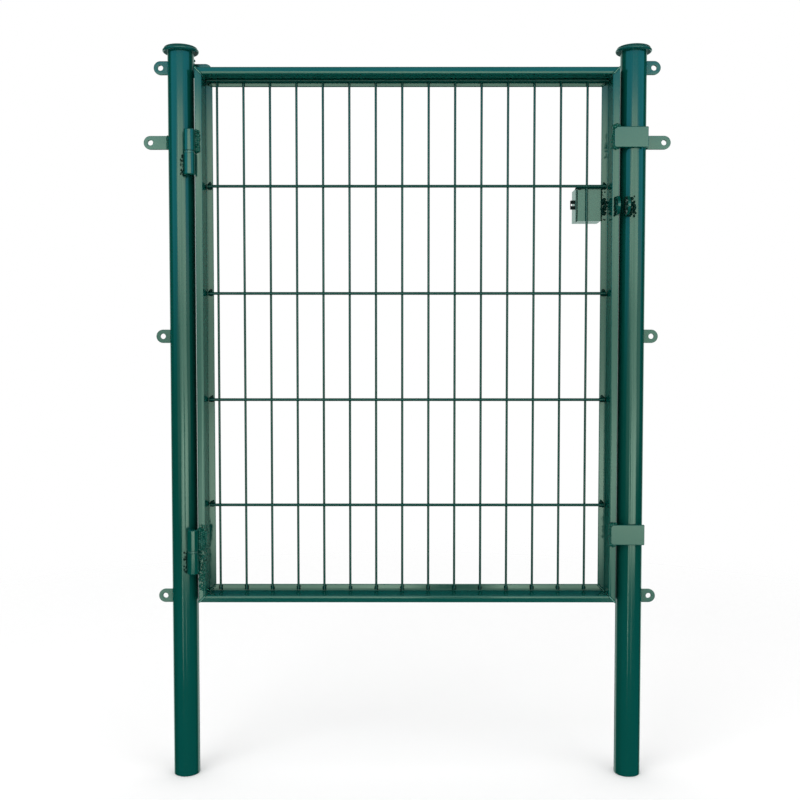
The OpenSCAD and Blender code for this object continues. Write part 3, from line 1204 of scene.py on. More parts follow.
@dataclass
class LeafFrame:
    """The mitred frame of rebated tube: a front strip, a recess wall and a lip at the back.

    The crown is the reach and the depth of the oval at the strip's inner edge. ridge_sink and
    crest_sink are shares of a radius.
    """

    strip: float = 13.0
    crown: Point2 = (5.0, 1.3)
    crown_step: float = 6.0
    crown_points: int = 15
    outer_edge: float = 1.4
    lip_edge: float = 1.0
    back_edge: float = 1.5
    inner_round: float = 0.8
    lip: float = 5.5
    lean: float = 0.75
    ridge: float = 2.1
    ridge_sink: float = 0.2
    ridge_steps: int = 8
    ridge_end: float = 1.0
    slide: float = 0.25
    wall_ridge: float = 1.3
    wall_sink: float = 0.3
    crest: float = 0.9
    crest_sink: float = 0.4
    crest_shift: float = -0.5
    seed: int = 31

    def __post_init__(self) -> None:
        """Reads the leaf's place and size from the frame."""
        self.low, stile_high = node_box("hinge_stile")
        _, self.high = node_box("lock_stile")
        self.width = stile_high.x - self.low.x
        self.depth = stile_high.y - self.low.y

    def build(self, grower: Grower) -> None:
        """Makes the four sides and the welds at their corners.

        Args:
            grower: Makes the welds.
        """
        step = self.depth - self.lip
        section = self._section(step)
        low, high = self.low, self.high
        across, tall = high.x - low.x, high.z - low.z
        sides = [
            ("hinge_stile", (low.x, low.y, low.z), (0, 0, 1), (1, 0, 0), tall, STILE_COAT),
            ("lock_stile", (high.x, low.y, low.z), (0, 0, 1), (-1, 0, 0), tall, STILE_COAT),
            ("top_rail", (low.x, low.y, high.z), (1, 0, 0), (0, 0, -1), across, RAIL_COAT),
            ("bottom_rail", (low.x, low.y, low.z), (1, 0, 0), (0, 0, 1), across, RAIL_COAT),
        ]
        for node, origin, along, inwards, length, finish in sides:
            ends = [[], []]
            for u, v in section:
                foot = Vector(origin) + Vector(inwards) * u + Vector((0, v, 0))
                ends[0].append(foot + Vector(along) * u)
                ends[1].append(foot + Vector(along) * (length - u))
            dressed(f"{node}_tube", [swept(ends)], finish, Body.LEAF, [node])
        ridges = self._corner_welds(step)
        forward, up = self.crest * self.crest_sink - self.ridge, self.crest_shift
        crests = [
            Bead([(x, y + forward, z + up) for x, y, z in bead.path], self.crest)
            for bead in ridges if len(bead.path) > 2
        ]
        grower.weld("frame_corner_welds", ridges, Body.LEAF, seed=self.seed, uneven=0.16, spacing=1.9)
        # The crests are pale rods on the mitre welds: a painted highlight.
        grower.rods("frame_corner_crests", crests, 10, HIGHLIGHT_LINE_COAT, Body.LEAF)

    def _section(self, step: float) -> list[Point2]:
        """The tube's section, from its outer face inwards and from the front back.

        Args:
            step: Depth of the lip's front face behind the strip's.

        Returns:
            The section's points, with an oval rounding at the strip's inner edge.
        """
        reach, depth = self.crown
        section = rounded([
            (0, 0, self.outer_edge), (self.strip, depth, 0), (self.strip, step, self.inner_round),
            (self.width, step + self.lean, self.lip_edge), (self.width, self.depth, self.lip_edge),
            (0, self.depth, self.back_edge),
        ], 8)
        angles = [math.radians(self.crown_step * k) for k in range(self.crown_points)]
        oval = [(self.strip - reach + reach * math.sin(a), depth * (1 - math.cos(a))) for a in angles]
        corner = section.index((self.strip, depth))
        return section[:corner] + oval + section[corner:]

    def _corner_welds(self, step: float) -> list[Bead]:
        """The ridges along the mitres.

        Args:
            step: Depth of the lip's front face behind the strip's.

        Returns:
            The ridges.
        """
        draw = random.Random(self.seed)
        spans = (
            (self.ridge_end, self.strip - self.ridge_end, 0.0),
            (self.strip + 0.5, self.width - 0.6, step),
        )
        beads = []
        for x, sx in ((self.low.x, 1), (self.high.x, -1)):
            for z, sz in ((self.low.z, 1), (self.high.z, -1)):
                for start, end, front in spans:
                    path = []
                    y = self.low.y + front + self.ridge * self.ridge_sink
                    for k in range(self.ridge_steps + 1):
                        u = start + (end - start) * k / self.ridge_steps
                        slide = draw.uniform(-self.slide, self.slide)
                        path.append((x + sx * (u + slide), y, z + sz * (u - slide)))
                    beads.append(Bead(path, self.ridge))
                at = self.strip - self.wall_sink
                wall = [(x + sx * at, self.low.y + y, z + sz * at) for y in (2.5, step - 0.5)]
                beads.append(Bead(wall, self.wall_ridge))
        return beads


@dataclass
class WireMesh:
    """The welded mesh: upright wires on the lip and cross wires in front of them.

    The end_ sizes are of the welds at the upright wires' feet and the rib_ sizes of those above and
    below a cross wire's end: their distance from the wire at the root and at the tip, and the least
    and most of their reach and radius. A lump is given inwards, back, up and by its radius.
    """

    upright_d: float = 4.5
    cross_d: float = 5.5
    sides: int = 20
    pitch: float = 49.5
    first: float = 64.0
    count: int = 15
    first_drop: float = 195.5
    cross_pitch: float = 200.0
    cross_count: int = 5
    crossing_r: float = 2.55
    end_side: float = 2.3
    end_length: float = 5.5
    end_r: float = 1.5
    rib_sides: Point2 = (2.6, 2.4)
    rib_reach: Point2 = (5.0, 8.5)
    rib_r: Point2 = (1.7, 2.4)
    lumps: tuple[tuple[float, ...], ...] = ((4, 2.5, 4.5, 2.5), (5, 2.0, 6.5, 1.7))
    top_r: float = 2.0
    crossing_seed: int = 41
    draw_seed: int = 5
    end_seed: int = 43

    def build(self, grower: Grower) -> None:
        """Makes the wires and the welds where they cross and where they end.

        Args:
            grower: Makes the wires and the welds.
        """
        low, high = node_box("wire_mesh")
        y_upright = high.y - self.upright_d / 2
        y_cross = low.y + self.cross_d / 2
        top = high.z - self.cross_d / 2
        levels = [top] + [top - self.first_drop - k * self.cross_pitch for k in range(self.cross_count - 1)]
        columns = [self.first + i * self.pitch for i in range(self.count)]
        rods = [upright(x, y_upright, low.z, high.z, self.upright_d / 2) for x in columns]
        rods += [lying(low.x, high.x, y_cross, z, self.cross_d / 2) for z in levels]
        # The wires take the darker rod coat: painted shade.
        grower.rods("mesh_wires", rods, self.sides, ROD_COAT, Body.LEAF, ["wire_mesh"])
        middle = (y_upright + y_cross) / 2
        crossings = [dab(x, middle, z, self.crossing_r) for x in columns for z in levels]
        grower.weld("mesh_crossing_welds", crossings, Body.LEAF, self.crossing_seed, uneven=0.16)
        draw = random.Random(self.draw_seed)
        welds = self._upright_ends(draw, columns, low.z, high.y)
        welds += self._cross_ends(draw, levels, y_cross, ((low.x, 1), (high.x, -1)))
        # The edge welds take the near-black weld coat: painted shade.
        grower.weld("mesh_edge_welds", welds, Body.LEAF, self.end_seed, finish=SHADED_WELD)

    def _upright_ends(
        self, draw: random.Random, columns: Sequence[float], foot: float, back: float
    ) -> list[Bead]:
        """The welds that hold the upright wires' lower ends to the lip.

        Args:
            draw: The source of chance.
            columns: Where the wires stand.
            foot: The height of their lower ends.
            back: How far back they reach.

        Returns:
            The welds.
        """
        beads = []
        for x in columns:
            for side in (-1, 1):
                low = foot - 0.5 + draw.uniform(0, 1)
                high = foot + self.end_length + draw.uniform(-1.5, 1.5)
                beads.append(upright(x + side * self.end_side, back - 0.3, low, high, self.end_r))
        return beads

    def _cross_ends(
        self, draw: random.Random, levels: Sequence[float], y: float, ends: Sequence[tuple[float, int]]
    ) -> list[Bead]:
        """The welds that hold the cross wires' ends to the lips.

        Args:
            draw: The source of chance.
            levels: How high the wires are, the top one first.
            y: Where their middle line is.
            ends: Where each end is, and the way inwards.

        Returns:
            The welds.
        """
        beads = []
        root, tip = self.rib_sides
        for z in levels[1:]:
            for x, inwards in ends:
                for side in (-1, 1):
                    reach = inwards * draw.uniform(*self.rib_reach)
                    path = [(x + inwards, y + 2.5, z + side * root), (x + reach, y + 3.0, z + side * tip)]
                    beads.append(Bead(path, draw.uniform(*self.rib_r)))
                beads += [dab(x + inwards * a, y + b, z + c, radius) for a, b, c, radius in self.lumps]
        top = levels[0]
        for x, inwards in ends:
            at = x + inwards * 3
            beads.append(Bead([(at, y + 2, top - 2), (at, y + 3, top - 5)], self.top_r))
        return beads


# ---------------------------------------------------------------- ironmongery


@dataclass
class Hinge:
    """A weld-on barrel hinge: the leaf's barrel drops over the pin of the post's barrel.

    The row_ pairs place the weld runs beside the leaf's barrel: the first one, and the step to the
    next. Spots are a count and the largest radius. A post bead is given to the right and back of
    the barrel's side, by its distance from the lower and the upper end, and by its radius. The
    spray is how far spatter reaches below and above the leaf's barrel.
    """

    level: Level
    weld_run: float = 9.0
    seed: int = 51
    spray: Point2 | None = None
    chamfer: float = 1.5
    ease: float = 0.5
    pin: float = 5.0
    post_r: float = 24.2
    bore_gap: float = 0.05
    ring_inset: float = 1.0
    end: float = 6.0
    web: float = 8.0
    web_end: float = 22.0
    web_edge: float = 0.4
    row_rise: float = 4.0
    row_x: Point2 = (2.6, 3.9)
    row_y: Point2 = (-1.6, 0.7)
    row_low: Point2 = (1.0, 1.5)
    row_high: Point2 = (-1.5, -1.6)
    row_r: Point2 = (3.7, -0.4)
    spots: tuple[int, float] = (230, 2.3)
    wall_spots: tuple[int, float] = (60, 1.2)
    shaded_spots: tuple[int, float] = (46, 1.5)
    wall: float = 13.2
    post_beads: tuple[tuple[float, ...], ...] = (
        (0.3, 7.5, 3, 3, 3.0), (-0.6, 5.5, 1, 1, 2.0), (-2.2, 10.0, 3, 4, 2.4),
    )
    post_spots: int = 34
    post_spot_x: Point2 = (2.5, 10.5)
    post_spot_r: Point2 = (0.7, 1.7)

    def __post_init__(self) -> None:
        """Reads the hinge's place and size from the frame."""
        name = self.level.value
        self.ring_low, self.ring_high = node_box(f"{name}_hinge_ring")
        self.leaf_low, self.leaf_high = node_box(f"{name}_leaf_barrel")
        self.post_low, self.post_high = node_box(f"{name}_post_barrel")
        self.centre = ((self.ring_low.x + self.ring_high.x) / 2, (self.ring_low.y + self.ring_high.y) / 2)
        self.radius = self.centre[0] - self.leaf_low.x

    def build(self, grower: Grower) -> None:
        """Makes both barrels, the ring between them and the welds.

        Args:
            grower: Makes the welds.
        """
        leaf, ring, post = (turned(p, self.centre) for p in self._profiles())
        # The ring between the barrels takes the lighter coat: a painted highlight.
        parts = (
            ("leaf_barrel", "knuckle", [leaf], BARREL_COAT, Body.LEAF),
            ("hinge_ring", "washer", [ring], RING_HIGHLIGHT_COAT, Body.POSTS),
            ("post_barrel", "knuckle", [post, self._web()], BARREL_COAT, Body.POSTS),
        )
        for part, kind, shapes, finish, body in parts:
            node = f"{self.level.value}_{part}"
            dressed(f"{node}_{kind}", shapes, finish, body, [node])
        self._leaf_welds(grower)
        self._post_welds(grower)

    def _profiles(self) -> tuple[list[Point2], list[Point2], list[Point2]]:
        """Returns the profiles of the leaf's barrel, the ring and the post's barrel with its pin."""
        radius, cut, ease, bore = self.radius, self.chamfer, self.ease, self.pin + self.bore_gap
        bottom, top = self.leaf_low.z, self.leaf_high.z
        leaf = [
            (0.0, top - self.end), (bore, top - self.end), (bore, bottom), (radius - ease, bottom),
            *arc((radius - ease, bottom + ease), ease, -90, 90, 3)[1:], (radius, top - cut),
            *arc((radius - cut, top - cut), cut, 0, 90, 4)[1:], (0.0, top),
        ]
        bottom, top, flat = self.ring_low.z, self.ring_high.z, radius - self.ring_inset - ease
        ring = [
            (bore, bottom), (flat, bottom), *arc((flat, bottom + ease), ease, -90, 90, 3)[1:],
            *arc((flat, top - ease), ease, 0, 90, 3), (bore, top),
        ]
        bottom, top, tip = self.post_low.z, self.ring_low.z, self.post_high.z
        post = [
            (0.0, bottom), (radius - cut, bottom), *arc((radius - cut, bottom + cut), cut, -90, 90, 4)[1:],
            (radius, top - ease), *arc((radius - ease, top - ease), ease, 0, 90, 3)[1:], (self.pin, top),
            (self.pin, tip - 1), (self.pin - 1, tip), (0.0, tip),
        ]
        return leaf, ring, post

    def _web(self) -> bpy.types.Mesh:
        """Returns the web that joins the post's barrel to the post."""
        x, y = self.centre
        bottom, top = self.post_low.z, self.ring_low.z
        reach, half = math.hypot(x, y) - self.web_end, self.web / 2
        place = Matrix.Translation((x, y, (bottom + top) / 2)) @ Matrix.Rotation(math.atan2(-y, -x), 4, "Z")
        outline = [(0, -half), (reach, -half), (reach, half), (0, half)]
        return plate(outline, top - bottom - 2 * self.chamfer, self.web_edge, place)

    def _leaf_welds(self, grower: Grower) -> None:
        """Makes the welds and the spatter beside the leaf's barrel.

        Args:
            grower: Makes the welds.
        """
        corner, _ = node_box("hinge_stile")
        edge, front = corner.x, corner.y
        low, high = self.leaf_low.z, self.leaf_high.z
        starts = (edge, front, low, high, 0.0)
        rows = (self.row_x, self.row_y, self.row_low, self.row_high, self.row_r)
        beads = [
            upright(*(start + first + k * more for start, (first, more) in zip(starts, rows)))
            for k in range(max(2, round(self.weld_run / self.row_rise)))
        ]
        name = f"{self.level.value}_leaf"
        grower.weld(f"{name}_barrel_weld", beads, Body.LEAF, seed=self.seed, uneven=0.34, spacing=3.1)
        if not self.spray:
            return
        draw = random.Random(self.seed)
        low, high = low - self.spray[0], high + self.spray[1]
        count, radius = self.spots
        area = ((edge + 1.5, front + 0.4, low), (edge + 12.2, front + 1.2, high))
        spots = spatter(draw, count, *area, radius)
        count, radius = self.wall_spots
        wall = edge + self.wall
        wall_area = ((wall - 0.2, front + 3.0, low), (wall + 0.3, front + 30.0, high))
        spots += spatter(draw, count, *wall_area, radius)
        grower.weld(f"{name}_weld_spatter", spots, Body.LEAF, seed=self.seed + 2, uneven=0.4)
        # These spots take the near-black weld coat: painted shade.
        count, radius = self.shaded_spots
        shaded_lumps = spatter(draw, count, *area, radius)
        grower.weld(f"{name}_weld_scale", shaded_lumps, Body.LEAF, seed=self.seed + 3, finish=SHADED_WELD)

    def _post_welds(self, grower: Grower) -> None:
        """Makes the welds between the post's barrel and the post.

        Args:
            grower: Makes the welds.
        """
        low, high = self.post_low.z, self.ring_low.z
        x, y = self.centre[0] - self.radius, self.centre[1]
        beads = [
            upright(x + right, y + back, low + foot, high - head, radius)
            for right, back, foot, head, radius in self.post_beads
        ]
        seed = self.seed + 1
        draw = random.Random(seed)
        for _ in range(self.post_spots):
            x = draw.uniform(*self.post_spot_x)
            y = -math.sqrt(self.post_r ** 2 - x ** 2)
            beads.append(dab(x, y, draw.uniform(low, high), draw.uniform(*self.post_spot_r)))
        name = f"{self.level.value}_post_barrel_weld"
        # The post's barrel welds take the near-black weld coat: painted shade.
        grower.weld(name, beads, Body.POSTS, seed=seed, uneven=0.4, spacing=2.2, finish=SHADED_WELD)


@dataclass
class StopPlate:
    """A flat plate on the lock stile that laps over the front of the lock post.

    A lump is given to the right of the plate's end, in front of the bead, above the plate's upper
    or lower edge, and by its radius. Spots are a count and the largest radius.
    """

    level: Level
    seed: int
    corner: float = 5.0
    nose: float = 1.5
    edge: float = 1.1
    bead: float = 2.2
    bead_gap: float = 0.8
    bead_depth: float = 1.2
    top_lumps: tuple[tuple[float, ...], ...] = (
        (0.5, 2.0, -0.5, 3.4), (4.5, 1.8, 1.5, 3.0), (9.5, 1.0, 2.0, 2.4),
    )
    foot_lumps: tuple[tuple[float, ...], ...] = ((0.5, 1.5, 0.5, 3.0), (4.0, 1.0, -1.5, 2.6))
    spots: tuple[int, float] = (14, 1.6)

    def build(self, grower: Grower) -> None:
        """Makes the plate and its welds.

        Args:
            grower: Makes the welds.
        """
        node = f"{self.level.value}_stop_plate"
        low, high = node_box(node)
        outline = rounded([
            (low.x, low.z, self.corner), (high.x, low.z, self.nose), (high.x, high.z, self.nose),
            (low.x, high.z, self.corner),
        ])
        place = facing(Face.Y, (0, (low.y + high.y) / 2, 0))
        bar = plate(outline, high.y - low.y, self.edge, place)
        dressed(f"{node}_bar", [bar], PLATE_COAT, Body.LEAF, [node])
        _, stile_high = node_box("lock_stile")
        back, gap = high.y - self.bead_depth, self.bead_gap
        beads = [upright(low.x - gap, back, low.z + 2, high.z - 2, self.bead)]
        beads += [
            lying(low.x + 1, stile_high.x - 2, back, z, self.bead) for z in (high.z + gap, low.z - gap)
        ]
        for start, lumps in ((high.z, self.top_lumps), (low.z, self.foot_lumps)):
            beads += [dab(low.x + x, back - y, start + z, radius) for x, y, z, radius in lumps]
        draw = random.Random(self.seed)
        count, radius = self.spots
        area = ((low.x - 6, high.y - 0.2, low.z - 3), (low.x - 2, high.y + 0.2, high.z + 4))
        beads += spatter(draw, count, *area, radius)
        grower.weld(f"{node}_welds", beads, Body.LEAF, seed=self.seed, uneven=0.36, spacing=2.0)


@dataclass
class LockSet:
    """The sheet-metal lock case behind the mesh, with its slotted slide.

    Lumps and spots are a count and the largest radius.
    """

    fold: float = 1.0
    flange: float = 1.6
    seam_width: float = 2.2
    seam_depth: float = 14.0
    seam_edge: float = 0.3
    far_round: float = 0.8
    edge: float = 0.25
    slot: float = 4.0
    slot_wall: float = 1.0
    slot_round: float = 0.5
    tab_round: float = 1.2
    prong_edge: float = 0.4
    side_bead: float = 1.3
    lumps: tuple[int, float] = (34, 2.9)
    spots: tuple[int, float] = (16, 1.5)
    top_bead: float = 1.9
    seam_bead: float = 1.6
    draw_seed: int = 17
    seed: int = 61

    def build(self, grower: Grower) -> None:
        """Makes the case, the slide with its slot and the welds.

        Args:
            grower: Makes the welds.
        """
        low, high = node_box("lock_case")
        near, sink = low.x + self.flange, low.y + self.seam_depth
        far = near + self.seam_width
        outline = rounded([
            (low.x, low.y, self.fold), (near, low.y, self.seam_edge), (near, sink, 0.0), (far, sink, 0.0),
            (far, low.y, self.seam_edge), (high.x, low.y, self.far_round), (high.x, high.y, self.far_round),
            (low.x, high.y, self.fold),
        ], 8)
        case = plate(outline, high.z - low.z, self.edge, facing(Face.Z, (0, 0, (low.z + high.z) / 2)))
        dressed("lock_case_box", [case], CASE_COAT, Body.LEAF, ["lock_case"])
        self._slide(low.x)
        self._weld(grower, low, high)

    def _slide(self, case_x: float) -> None:
        """Makes the slide's tab with its slot.

        Args:
            case_x: Where the case's side is, which the tab stands out of.
        """
        low, high = node_box("lock_slide_tab")
        middle = (low.z + high.z) / 2
        root, corner = case_x + 1.0, self.tab_round
        outline = rounded([
            (low.x, low.z, corner), (root, low.z, 0), (root, high.z, 0), (low.x, high.z, corner),
        ])
        bottom, top = middle - self.slot / 2, middle + self.slot / 2
        near, far, corner = low.x + self.slot_wall, case_x - self.slot_wall, self.slot_round
        slot = rounded([
            (near, bottom, corner), (far, bottom, corner), (far, top, corner), (near, top, corner),
        ])
        place = facing(Face.Y, (0, (low.y + high.y) / 2, 0))
        tab = plate(outline, high.y - low.y, self.prong_edge, place, [slot])
        dressed("lock_slide", [tab], BLACK_PART, Body.LEAF, ["lock_slide_tab"])

    def _weld(self, grower: Grower, low: Vector, high: Vector) -> None:
        """Makes the welds between the case and the lip.

        Args:
            grower: Makes the welds.
            low: The case's lowest corner.
            high: Its highest corner.
        """
        draw = random.Random(self.draw_seed)
        lip, x = low.y - 0.6, high.x
        middle = (low.z + high.z) / 2
        beads = [upright(x + 0.6, lip + 0.4, low.z + 1, high.z - 1, self.side_bead)]
        lump_area = ((x + 1, lip - 0.8, middle - 18), (x + 8.5, lip + 0.6, middle + 10))
        spot_area = ((x + 1, lip, low.z + 2), (x + 7, lip + 0.6, high.z - 2))
        for (count, radius), area in ((self.lumps, lump_area), (self.spots, spot_area)):
            beads += spatter(draw, count, *area, radius)
        start = low.x + 0.5
        # The bead along the case's top takes the darker rod coat: painted shade.
        top = lying(start, x, low.y + 0.6, high.z + 0.4, self.top_bead)
        grower.rods("lock_case_top_weld", [top], 12, ROD_COAT, Body.LEAF)
        beads.append(lying(start, low.x + 9.5, low.y, high.z - 0.6, self.seam_bead))
        # The case's welds take the near-black weld coat: painted shade.
        name = "lock_case_welds"
        grower.weld(name, beads, Body.LEAF, self.seed, uneven=0.4, spacing=1.8, finish=SHADED_WELD)


@dataclass
class PadlockEyes:
    """Two drilled plates, one on the leaf and one on the lock post, for a padlock.

    Spots are a count and the largest radius. A post bead is given to the right of the eye, behind
    the post's front, by its distance from the lower and the upper end, and by its radius.
    """

    edge: float = 0.6
    hole: float = 12.0
    reach: float = 24.0
    post_front: float = -23.0
    leaf_bead: float = 1.9
    post_beads: tuple[tuple[float, ...], ...] = ((1.2, 2.5, 1, 1, 3.2), (3.6, 0.5, 4, 3, 2.8))
    post_side_bead: float = 1.5
    leaf_spots: tuple[int, float] = (10, 2.0)
    post_spots: tuple[int, float] = (44, 3.1)
    rim_spots: int = 20
    rim_inset: float = 3.4
    rim_spot_r: Point2 = (1.6, 2.6)
    leaf_seed: int = 71
    post_seed: int = 73

    def build(self, grower: Grower) -> None:
        """Makes both eyes and their welds.

        Args:
            grower: Makes the welds.
        """
        eyes = (
            ("leaf_padlock_eye", Body.LEAF, self.leaf_seed, self._leaf_root),
            ("post_padlock_eye", Body.POSTS, self.post_seed, self._post_root),
        )
        for node, body, seed, root_welds in eyes:
            low, high = node_box(node)
            half = (high.z - low.z) / 2
            middle = (low.z + high.z) / 2
            outline = [
                (high.y, -half), *reversed(arc((low.y + half, 0), half, 90, 180, 24)), (high.y, half),
            ]
            hole = arc((low.y + self.reach / 2, 0), self.hole / 2, 0, 360, 36)[:-1]
            place = facing(Face.X, ((low.x + high.x) / 2, 0, middle))
            shape = plate(outline, high.x - low.x, self.edge, place, [hole])
            dressed(f"{node}_plate", [shape], PLATE_COAT, body, [node])
            draw = random.Random(seed)
            beads = root_welds(draw, low, high)
            for _ in range(self.rim_spots):
                y, z = arc((low.y + half, middle), half - self.rim_inset, draw.uniform(90, 270), 0, 1)[0]
                beads.append(dab(draw.uniform(low.x, high.x), y, z, draw.uniform(*self.rim_spot_r)))
            # The eyes' welds take the near-black weld coat: painted shade.
            name = f"{node}_welds"
            grower.weld(name, beads, body, seed=seed, uneven=0.42, spacing=1.8, finish=SHADED_WELD)

    def _leaf_root(self, draw: random.Random, low: Vector, high: Vector) -> list[Bead]:
        """The welds at the root of the leaf's eye.

        Args:
            draw: The source of chance.
            low: The eye's lowest corner.
            high: Its highest corner.

        Returns:
            The welds.
        """
        root, left = high.y, low.x
        sides = (left - 0.6, high.x - 0.4)
        beads = [upright(x, root - 1.2, low.z + 2, high.z - 2, self.leaf_bead) for x in sides]
        count, radius = self.leaf_spots
        area = ((left - 1.5, root - 2.0, low.z - 1), (left - 0.5, root - 0.3, high.z + 1))
        return beads + spatter(draw, count, *area, radius)

    def _post_root(self, draw: random.Random, low: Vector, high: Vector) -> list[Bead]:
        """The welds at the root of the post's eye.

        Args:
            draw: The source of chance.
            low: The eye's lowest corner.
            high: Its highest corner.

        Returns:
            The welds.
        """
        root, right = self.post_front, high.x
        beads = [
            upright(right + x, root + y, low.z + foot, high.z - head, radius)
            for x, y, foot, head, radius in self.post_beads
        ]
        count, radius = self.post_spots
        area = ((right, root - 5.0, low.z - 1), (right + 14.0, root - 0.5, high.z + 1))
        beads += spatter(draw, count, *area, radius)
        beads.append(upright(low.x - 0.4, root + 3.2, low.z + 3, high.z - 3, self.post_side_bead))
        return beads


# ---------------------------------------------------------------- studio


@dataclass(frozen=True)
class Panel:
    """A soft-edged patch of light that only glossy metal sees, in degrees from the gate's front."""

    left: float
    right: float
    low: float
    high: float
    level: float
    side_soft: float = 3.0
    end_soft: float = 1.5

    def mask(self, turn: Number, rise: Number) -> Number:
        """How strongly a direction meets the panel.

        Args:
            turn: The direction's angle from -Y towards +X, in radians.
            rise: Its angle above the level, in radians.

        Returns:
            The panel's level, faded at its edges.
        """
        def inside(value: Number, low: float, high: float, soft: float) -> Number:
            """Returns 1 between two soft edges and 0 outside them."""
            entered = value.between_degrees(low - soft, low + soft)
            return entered * (1 - value.between_degrees(high - soft, high + soft))
        across = inside(turn, self.left, self.right, self.side_soft)
        return across * inside(rise, self.low, self.high, self.end_soft) * self.level


@dataclass(frozen=True)
class Surroundings:
    """What glossy metal sees round it: pale panels in front, cool light above, white behind.

    The panels lie over each other, the brightest on top, and the shades darken them. Slanted bars
    make the panels and the sky uneven: bars_level is the darkest bar and what the brightest adds,
    and sky_bars are the plain and the barred share of the sky. Angles are in degrees.
    """

    pale: Colour = (0.72, 1.0, 0.77)
    cool: Colour = (0.2, 1.35, 2.0)
    high: Colour = (0.32, 0.95, 0.92)
    high_from: Point2 = (18.0, 24.0)
    ground: Colour = (0.0, 0.3, 0.34)
    behind: Colour = (0.78, 1.0, 0.92)
    behind_from: Point2 = (118.0, 146.0)
    fill: float = 0.92
    bars_scale: float = 13.0
    bars_slant: float = 0.35
    bars_edge: Point2 = (0.38, 0.58)
    bars_level: Point2 = (0.7, 0.4)
    sky_bars: Point2 = (0.3, 0.7)
    hidden_from: Point2 = (150.0, 161.0)
    hidden_below: Point2 = (-15.0, -6.0)
    hidden_share: float = 0.93
    lift: float = 0.7
    lift_below: Point2 = (-16.0, -5.0)
    panels: tuple[Panel, ...] = (
        Panel(-31, 42, 2.0, 11.6, 4.3),
        Panel(-22, 27, 10.5, 13.9, 4.2, side_soft=7.0, end_soft=0.7),
        Panel(-17.0, -12.4, 9.5, 13.6, 6.6, side_soft=0.8, end_soft=0.8),
        Panel(-17.0, -12.4, -16.5, -11.0, 5.6, side_soft=0.8, end_soft=0.8),
        Panel(12.8, 16.0, -16.5, -11.0, 4.9, side_soft=0.8, end_soft=0.8),
        Panel(-21, 40, -3.0, 3.0, 4.3, side_soft=6.0, end_soft=2.0),
        Panel(-15, 45, -11.5, -2.0, 4.7, end_soft=0.8),
        Panel(-15, 45, -9.2, -3.4, 5.7, end_soft=1.0),
        Panel(-44, -17, -7.0, 4.0, 1.2, side_soft=6.0, end_soft=3.0),
        Panel(43, 76, -5.0, 7.0, 1.5, side_soft=5.0, end_soft=3.0),
    )
    shades: tuple[Panel, ...] = (
        Panel(-90, 90, -2.4, 3.2, 0.24, side_soft=5.0, end_soft=1.6),
        Panel(-45, -7, -7.0, 5.0, 0.42, side_soft=4.0, end_soft=3.0),
        Panel(-7, 20, -2.5, 7.5, 0.14, side_soft=4.0, end_soft=2.0),
        Panel(8.5, 15.5, -13.4, -2.0, 0.32, side_soft=1.5, end_soft=1.5),
    )
    sky: Panel = Panel(-82, 88, 3.5, 42.0, 1.0, side_soft=9.0, end_soft=8.0)
    floor: Panel = Panel(-70, 100, -60.0, -13.0, 1.0, side_soft=20.0, end_soft=3.0)

    def build(self) -> None:
        """Fills the world."""
        world = bpy.data.worlds.new("studio")
        bpy.context.scene.world = world
        world.use_nodes = True
        world.cycles.sampling_method = "NONE"
        graph = Graph(world.node_tree)
        metal = self._reflected(graph)
        path = graph.node("ShaderNodeLightPath").outputs
        plain, shiny, backdrop = (
            graph.node("ShaderNodeBackground", None, {"Color": colour, "Strength": strength}).outputs[0]
            for colour, strength in ((WHITE, self.fill), (metal, 1.0), (WHITE, 1.0))
        )
        lit = graph.mix_surfaces(path["Is Glossy Ray"], plain, shiny)
        through = graph.number(path["Is Camera Ray"]).maximum(path["Is Transmission Ray"])
        graph.finish(graph.mix_surfaces(through, lit, backdrop), "World")

    def _reflected(self, graph: Graph) -> bpy.types.NodeSocket:
        """What glossy metal sees.

        Args:
            graph: The world's tree.

        Returns:
            The colour in each direction.
        """
        way = graph.node("ShaderNodeSeparateXYZ", None, {0: graph.place("Generated")})
        x, y, z = (graph.number(socket) for socket in way.outputs)
        turn = x.maths("ARCTAN2", x, -1 * y)
        rise = z.maths("ARCSINE", z)
        place = graph.node("ShaderNodeCombineXYZ", None, {0: turn, 1: rise * self.bars_slant}).outputs[0]
        darkest, gain = self.bars_level
        shade = darkest + gain * graph.noise(self.bars_scale, 3.0, place).between(*self.bars_edge)
        brightest, *others = (panel.mask(turn, rise) for panel in self.panels)
        for other in others:
            brightest = brightest.maximum(other)
        level = shade * brightest
        for dim in self.shades:
            level = level * (1 - dim.mask(turn, rise))
        glow = graph.scaled(self.pale, level)
        blue = graph.mix(rise.between_degrees(*self.high_from), (*self.cool, 1.0), (*self.high, 1.0))
        plain, barred = self.sky_bars
        sky = graph.scaled(blue, self.sky.mask(turn, rise) * (plain + shade * barred))
        ground = graph.scaled(self.ground, self.floor.mask(turn, rise))
        front = graph.lighter(graph.lighter(glow, sky), ground)
        round_back = turn.maths("ABSOLUTE", turn)
        under = round_back.between_degrees(*self.hidden_from)
        under = under * (1 - rise.between_degrees(*self.hidden_below))
        away = round_back.between_degrees(*self.behind_from) * (1 - self.hidden_share * under)
        lift = 1 + self.lift * (1 - rise.between_degrees(*self.lift_below)) * shade
        return graph.mix(away, front, graph.scaled(self.behind, lift))


@dataclass(frozen=True)
class Lamp:
    """A soft square lamp that points at the middle of the gate, in metres and watts."""

    name: str
    place: Point3
    power: float
    size: float = 2.4

    def build(self) -> None:
        """Hangs the lamp."""
        light = bpy.data.lights.new(self.name, "AREA")
        light.shape = "SQUARE"
        light.size = self.size
        light.energy = self.power
        lamp = linked(self.name, light)
        lamp.location = self.place
        low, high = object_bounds()
        middle = (Vector(low) + Vector(high)) / 2
        lamp.rotation_euler = (middle - Vector(self.place)).to_track_quat("-Z", "Y").to_euler()
        lamp.visible_glossy = False


